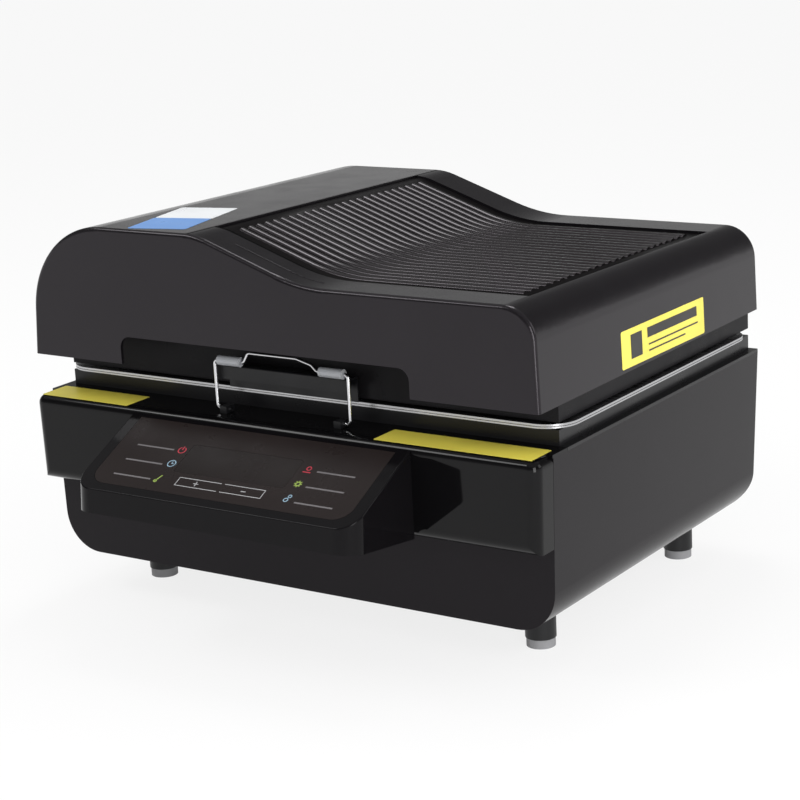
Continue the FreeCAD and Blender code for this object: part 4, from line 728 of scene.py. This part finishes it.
def make_keypad_print():
    """Status bars, key outlines and plain symbols on the keypad."""
    bars = []
    for y in (66.0, 45.3, 24.3):
        bars.append(rect(-127.5, y - 0.9, -82.6, y + 0.9))
        bars.append(rect(86.0, y - 1.9, 128.4, y - 0.1))
    printed("keypad_bars", bars, "print_bar")

    power = arc_band(-73.3, 67.0, 4.0, 1.1, -240, 60) + [rect(-73.9, 67.5, -72.7, 72.0)]
    heat = arc_band(75.6, 67.6, 2.3, 1.0, 0, 360, 16) + [rect(71.3, 62.0, 79.9, 63.2)]
    printed("keypad_red_symbols", power + heat, "print_red")

    clock = arc_band(-73.0, 48.0, 4.2, 1.0, 0, 360)
    clock += [bar(-73.0, 48.0, -73.0, 51.0, 0.9), bar(-73.0, 48.0, -70.8, 48.0, 0.9)]
    timer = arc_band(75.6, 25.0, 2.2, 1.0, 0, 360, 16)
    timer += arc_band(77.6, 30.0, 1.7, 0.9, 0, 360, 16)
    printed("keypad_blue_symbols", clock + timer, "print_blue")

    stick = [bar(-75.5, 24.0, -72.4, 31.2, 1.5)] + arc_band(-75.9, 23.2, 1.3, 1.5, 0, 360, 14)
    gear_x, gear_y, inner, outer = 76.0, 46.6, 2.6, 4.3
    gear = arc_band(gear_x, gear_y, 2.3, 1.3, 0, 360, 20)
    for i in range(8):
        turn = math.radians(45 * i)
        c, s = math.cos(turn), math.sin(turn)
        ends = (gear_x + inner * c, gear_y + inner * s, gear_x + outer * c, gear_y + outer * s)
        gear.append(bar(*ends, 1.1))
    printed("keypad_green_symbols", stick + gear, "print_green")

    # Two keys side by side, each open towards the other, with a plus and a minus.
    keys = []
    for x0, x1, outer_edge in ((-51.5, -2.4, -51.5), (1.6, 48.5, 48.5)):
        keys += [rect(x0, 21.3, x1, 22.1), rect(x0, 31.9, x1, 32.7)]
        keys.append(rect(outer_edge - 0.4, 21.3, outer_edge + 0.4, 32.7))
    plus = [rect(-32.5, 26.4, -26.5, 27.4), rect(-30.0, 23.9, -29.0, 29.9)]
    minus = [rect(23.4, 26.2, 29.0, 27.2)]
    printed("keypad_keys", keys + plus + minus, "print")


# ---------------------------------------------------------------------------
# Labels
# ---------------------------------------------------------------------------
def label(name, place, width, height, finish, body, radius=1.5):
    """A blank label with round corners; place turns (across, up, out) into metres."""
    thick = 0.00018
    outline = []
    for cx, cy, start in (
        (width - radius, radius, -90),
        (width - radius, height - radius, 0),
        (radius, height - radius, 90),
        (radius, radius, 180),
    ):
        for i in range(5):
            turn = math.radians(start + 90 * i / 4)
            outline.append((cx + radius * math.cos(turn), cy + radius * math.sin(turn)))
    verts, faces = [], []
    count = len(outline)
    for out in (thick, 0.0):
        verts += [place(x, y, out) for x, y in outline]
    faces.append(tuple(range(count)))
    faces.append(tuple(range(2 * count - 1, count - 1, -1)))
    for i in range(count):
        j = (i + 1) % count
        faces.append((j, i, count + i, count + j))
    return piece(name, verts, faces, finish, body)


def make_ledge_labels():
    """Blank yellow strips on the ledge, one on each side of the panel."""
    for name, left, width in (("right", 0.119, 168.0), ("left", -0.288, 112.0)):

        def ledge(x, y, out):
            return Vector((left + x * MM, LEDGE_Y + y * MM, LEDGE_Z + out))

        label("ledge_label_" + name, ledge, width, 36.0, "label_yellow", "base")


def lid_side(x, y, out):
    """A place on the lid's right side, from the side label's lower front corner, in mm."""
    corner_y, corner_z, tilt = -0.0152, 0.2602, 0.009
    back = corner_y + x * MM
    z = corner_z + (y - tilt * x) * MM
    rise = z + FALL * (back - LID_FRONT_Y) - SIDE_FOOT
    lean = rise / (WAVE[-1][0][1] - SIDE_FOOT) * SIDE_LEAN
    return Vector((LID_RIGHT_X - lean + out, back, z))


def make_side_label():
    """A yellow label on the lid's right side with plain dark bars."""
    label("side_label", lid_side, 169.0, 36.0, "label_yellow", "lid", 2.0)
    bars = [
        rect(51.0, 20.5, 153.5, 30.0),
        rect(53.0, 13.0, 155.0, 14.5),
        rect(53.0, 7.0, 128.0, 8.5),
        rect(18.0, 7.0, 40.0, 30.0),
    ]

    def on_label(x, y, out=0.0003):
        return lid_side(x, y, out + PRINT_THICK)

    printed("side_label_bars", bars, "label_ink", on_label, "lid")


def make_top_sticker():
    """A blank sticker on the hump, blue in front and white behind, turned a little."""
    corner = Vector((-0.166, -0.160))
    turn = math.radians(14.0)
    across = Vector((math.cos(turn), math.sin(turn)))
    along = Vector((-math.sin(turn), math.cos(turn)))
    width, blue_depth, white_depth = 62.0, 62.0, 64.0
    for name, start, depth in (("blue", 0.0, blue_depth), ("white", blue_depth, white_depth)):

        def hump(x, up, out):
            spot = corner + across * (x * MM) + along * ((start + up) * MM)
            return lowered(Vector((spot.x, 0.0, lid_top(spot.x) + out)), spot.y)

        label("top_label_" + name, hump, width, depth, "label_" + name, "lid", 3.0)


# ---------------------------------------------------------------------------
# Screws
# ---------------------------------------------------------------------------
def screw_head(name, radius=0.003, height=0.0014):
    """A pan head with a cross slot, facing along Z with its seat at zero."""
    verts, faces = [], []
    rings = (
        (radius, 0.0),
        (radius, height * 0.45),
        (radius * 0.82, height * 0.85),
        (radius * 0.5, height),
    )
    sides = 24
    for ring_radius, z in rings:
        for i in range(sides):
            turn = 2 * math.pi * i / sides
            verts.append((ring_radius * math.cos(turn), ring_radius * math.sin(turn), z))
    for k in range(len(rings) - 1):
        for i in range(sides):
            j = (i + 1) % sides
            a, b = k * sides, (k + 1) * sides
            faces.append((a + i, a + j, b + j, b + i))
    low = len(verts)
    top = (len(rings) - 1) * sides
    depth = height * 0.35
    for i in range(sides):
        turn = 2 * math.pi * i / sides
        reach = 0.42 if i % 6 == 0 else 0.16
        verts.append((radius * reach * math.cos(turn), radius * reach * math.sin(turn), depth))
    for i in range(sides):
        j = (i + 1) % sides
        faces.append((top + i, top + j, low + j, low + i))
    faces.append(tuple(range(low, low + sides)))
    faces.append(tuple(range(sides - 1, -1, -1)))
    mesh = bpy.data.meshes.new(name)
    mesh.from_pydata(verts, [], faces)
    return bpy.data.objects.new(name, mesh)


def screw_tree():
    """One head at each point, all turned the same way."""
    tree = Tree("screw_row", {"Head": "Object", "Turn": "Vector", "Finish": "Material"})
    head = tree.node("GeometryNodeObjectInfo")
    tree.link(tree.given("Head"), head.inputs["Object"])
    copies = tree.node("GeometryNodeInstanceOnPoints")
    tree.link(tree.given("Geometry"), copies.inputs["Points"])
    tree.link(head.outputs["Geometry"], copies.inputs["Instance"])
    turn = tree.node("FunctionNodeEulerToRotation")
    tree.link(tree.given("Turn"), turn.inputs["Euler"])
    tree.link(turn.outputs["Rotation"], copies.inputs["Rotation"])
    return tree.finish(copies.outputs["Instances"])


def back_wall_y(z):
    """Where the base's leaning back wall is at a height."""
    return BACK_Y - WALL_LEAN * (WALL_HEAD_Z - z) / (WALL_HEAD_Z - FLOOR_Z)


def make_screws():
    """The screws of the hinges, the fan and the underside."""
    head = screw_head("screw_head")
    bpy.context.scene.collection.objects.link(head)
    tree = screw_tree()
    to_back = (-math.pi / 2, 0.0, 0.0)
    down = (math.pi, 0.0, 0.0)
    leaf_x = [x + dx for x in (-HINGE_X, HINGE_X) for dx in (-LEAF_SCREW_X, LEAF_SCREW_X)]
    base_leaves = [(x, HINGE_FACE_Y, HINGE_Z - BASE_LEAF_DROP) for x in leaf_x]
    lid_leaves = [(x, HINGE_FACE_Y, HINGE_Z + LID_LEAF_RISE) for x in leaf_x]
    fan_x, fan_z = FAN_CENTRE
    fan = []
    for x in (fan_x - FAN_SCREW, fan_x + FAN_SCREW):
        for z in (fan_z - FAN_SCREW, fan_z + FAN_SCREW):
            fan.append((x, back_wall_y(z), z))
    underside = [(x, y, FLOOR_Z) for x in FLOOR_SCREW_X for y in FLOOR_SCREW_Y]
    for name, body, slot, finish, turn, places in (
        ("hinge_base_screws", "base", "hinge", "screw", to_back, base_leaves),
        ("hinge_lid_screws", "lid", "hinge", "screw", to_back, lid_leaves),
        ("fan_screws", "base", "foot", "black_screw", to_back, fan),
        ("underside_screws", "base", "foot", "black_screw", down, underside),
    ):
        mesh = bpy.data.meshes.new(name)
        mesh.from_pydata(places, [], [])
        values = {"Head": head, "Turn": turn, "Finish": FINISH[finish]}
        row = grown(name, bpy.data.objects.new(name, mesh), tree, values)
        settle(row, finish, body)
    bpy.data.objects.remove(head)


# ---------------------------------------------------------------------------
# Camera, floor and light
# ---------------------------------------------------------------------------
def make_camera():
    """A camera in front of the machine, to its right and a little above it."""
    place = (1.247048, -1.762048, 0.769852)
    yaw, pitch, roll = (math.radians(a) for a in (34.544, 14.898, -2.964))
    lens_pixels, picture_pixels = 2219.117, 800.0
    flat = math.cos(pitch)
    ahead = Vector((-math.sin(yaw) * flat, math.cos(yaw) * flat, -math.sin(pitch)))
    level = Vector((math.cos(yaw), math.sin(yaw), 0.0))
    upright = level.cross(ahead)
    right = level * math.cos(roll) + upright * math.sin(roll)
    up = upright * math.cos(roll) - level * math.sin(roll)
    data = bpy.data.cameras.new("camera")
    data.sensor_width = 36.0
    data.lens = lens_pixels * data.sensor_width / picture_pixels
    data.clip_end = 100.0
    camera = bpy.data.objects.new("camera", data)
    turn = Matrix((right, up, -ahead)).transposed().to_4x4()
    camera.matrix_world = Matrix.Translation(place) @ turn
    bpy.context.scene.collection.objects.link(camera)
    bpy.context.scene.camera = camera


def seen_white(tree, plain, white):
    """Mix in a white shader for camera, glossy and transmission rays."""
    path = tree.nodes.new("ShaderNodeLightPath")
    first = tree.nodes.new("ShaderNodeMath")
    first.operation = "MAXIMUM"
    second = tree.nodes.new("ShaderNodeMath")
    second.operation = "MAXIMUM"
    tree.links.new(path.outputs["Is Camera Ray"], first.inputs[0])
    tree.links.new(path.outputs["Is Glossy Ray"], first.inputs[1])
    tree.links.new(first.outputs[0], second.inputs[0])
    tree.links.new(path.outputs["Is Transmission Ray"], second.inputs[1])
    mix = tree.nodes.new("ShaderNodeMixShader")
    tree.links.new(second.outputs[0], mix.inputs["Fac"])
    tree.links.new(plain, mix.inputs[1])
    tree.links.new(white, mix.inputs[2])
    return mix.outputs[0]


def make_world():
    """A pale world: even as a light, and dimmer overhead in a reflection."""
    world = bpy.data.worlds.new("studio")
    bpy.context.scene.world = world
    world.use_nodes = True
    tree = world.node_tree
    plain = tree.nodes["Background"]
    plain.inputs["Color"].default_value = (1.0, 1.0, 1.0, 1.0)
    plain.inputs["Strength"].default_value = 0.75
    way = tree.nodes.new("ShaderNodeTexCoord")
    split = tree.nodes.new("ShaderNodeSeparateXYZ")
    tree.links.new(way.outputs["Generated"], split.inputs["Vector"])
    ramp = tree.nodes.new("ShaderNodeValToRGB")
    ramp.color_ramp.interpolation = "EASE"
    for position, level in HORIZON_TO_CEILING:
        stop = ramp.color_ramp.elements.new(position)
        stop.color = (level, level, level, 1.0)
    ramp.color_ramp.elements.remove(ramp.color_ramp.elements[-1])
    ramp.color_ramp.elements[0].color = (1.0, 1.0, 1.0, 1.0)
    tree.links.new(split.outputs["Z"], ramp.inputs["Fac"])
    path = tree.nodes.new("ShaderNodeLightPath")
    backdrop = tree.nodes.new("ShaderNodeMath")
    backdrop.operation = "MAXIMUM"
    tree.links.new(ramp.outputs["Color"], backdrop.inputs[0])
    tree.links.new(path.outputs["Is Camera Ray"], backdrop.inputs[1])
    seen = tree.nodes.new("ShaderNodeBackground")
    seen.inputs["Strength"].default_value = 1.0
    tree.links.new(backdrop.outputs[0], seen.inputs["Color"])
    both = seen_white(tree, plain.outputs[0], seen.outputs[0])
    tree.links.new(both, tree.nodes["World Output"].inputs["Surface"])


def floor_finish():
    """The floor's material: a pale matt surface, lifted towards white where it is seen."""
    material = bpy.data.materials.new("floor")
    material.use_nodes = True
    tree = material.node_tree
    matt = tree.nodes["Principled BSDF"]
    matt.inputs["Base Color"].default_value = (0.9, 0.9, 0.9, 1.0)
    matt.inputs["Roughness"].default_value = 0.9
    glow = tree.nodes.new("ShaderNodeEmission")
    glow.inputs["Strength"].default_value = 1.0
    soft = tree.nodes.new("ShaderNodeMixShader")
    soft.inputs["Fac"].default_value = 0.82
    tree.links.new(matt.outputs[0], soft.inputs[1])
    tree.links.new(glow.outputs[0], soft.inputs[2])
    both = seen_white(tree, matt.outputs[0], soft.outputs[0])
    tree.links.new(both, tree.nodes["Material Output"].inputs["Surface"])
    return material


def make_floor():
    """A pale floor that keeps a soft shadow under the machine."""
    half = 30.0
    corners = [(-half, -half, 0), (half, -half, 0), (half, half, 0), (-half, half, 0)]
    mesh = bpy.data.meshes.new("floor")
    mesh.from_pydata(corners, [], [(0, 1, 2, 3)])
    item = bpy.data.objects.new("floor", mesh)
    item.data.materials.append(floor_finish())
    bpy.context.scene.collection.objects.link(item)


def area_light(name, place, target, size, power):
    """A soft square light aimed at a place."""
    data = bpy.data.lights.new(name, "AREA")
    data.shape = "RECTANGLE"
    data.size, data.size_y = size
    data.energy = power
    item = bpy.data.objects.new(name, data)
    aim = Vector(target) - Vector(place)
    turn = aim.to_track_quat("-Z", "Y").to_matrix().to_4x4()
    item.matrix_world = Matrix.Translation(place) @ turn
    item.visible_camera = False
    bpy.context.scene.collection.objects.link(item)


def make_lights():
    """Soft lights over the wave, in front for the edges, low at the right corner, and beside."""
    area_light("overhead", (-0.3, 0.8, 2.35), (0, 0, 0.3), (0.6, 1.3), 14.0)
    area_light("edges", (-1.25, -1.05, 1.95), (0, -0.2, 0.3), (1.3, 0.45), 12.0)
    area_light("strip", (1.15, -0.78, 0.42), (0.3, -0.17, 0.25), (0.45, 0.9), 8.0)
    area_light("beside", (2.2, 0.9, 1.3), (0, 0, 0.2), (1.2, 1.2), 10.0)


bpy.context.scene.view_settings.view_transform = "Standard"
make_camera()
make_world()
make_floor()
make_lights()
dress_nodes()
make_inlay()
make_lid_lines()
make_bail()
make_keypad_print()
make_ledge_labels()
make_side_label()
make_top_sticker()
make_screws()
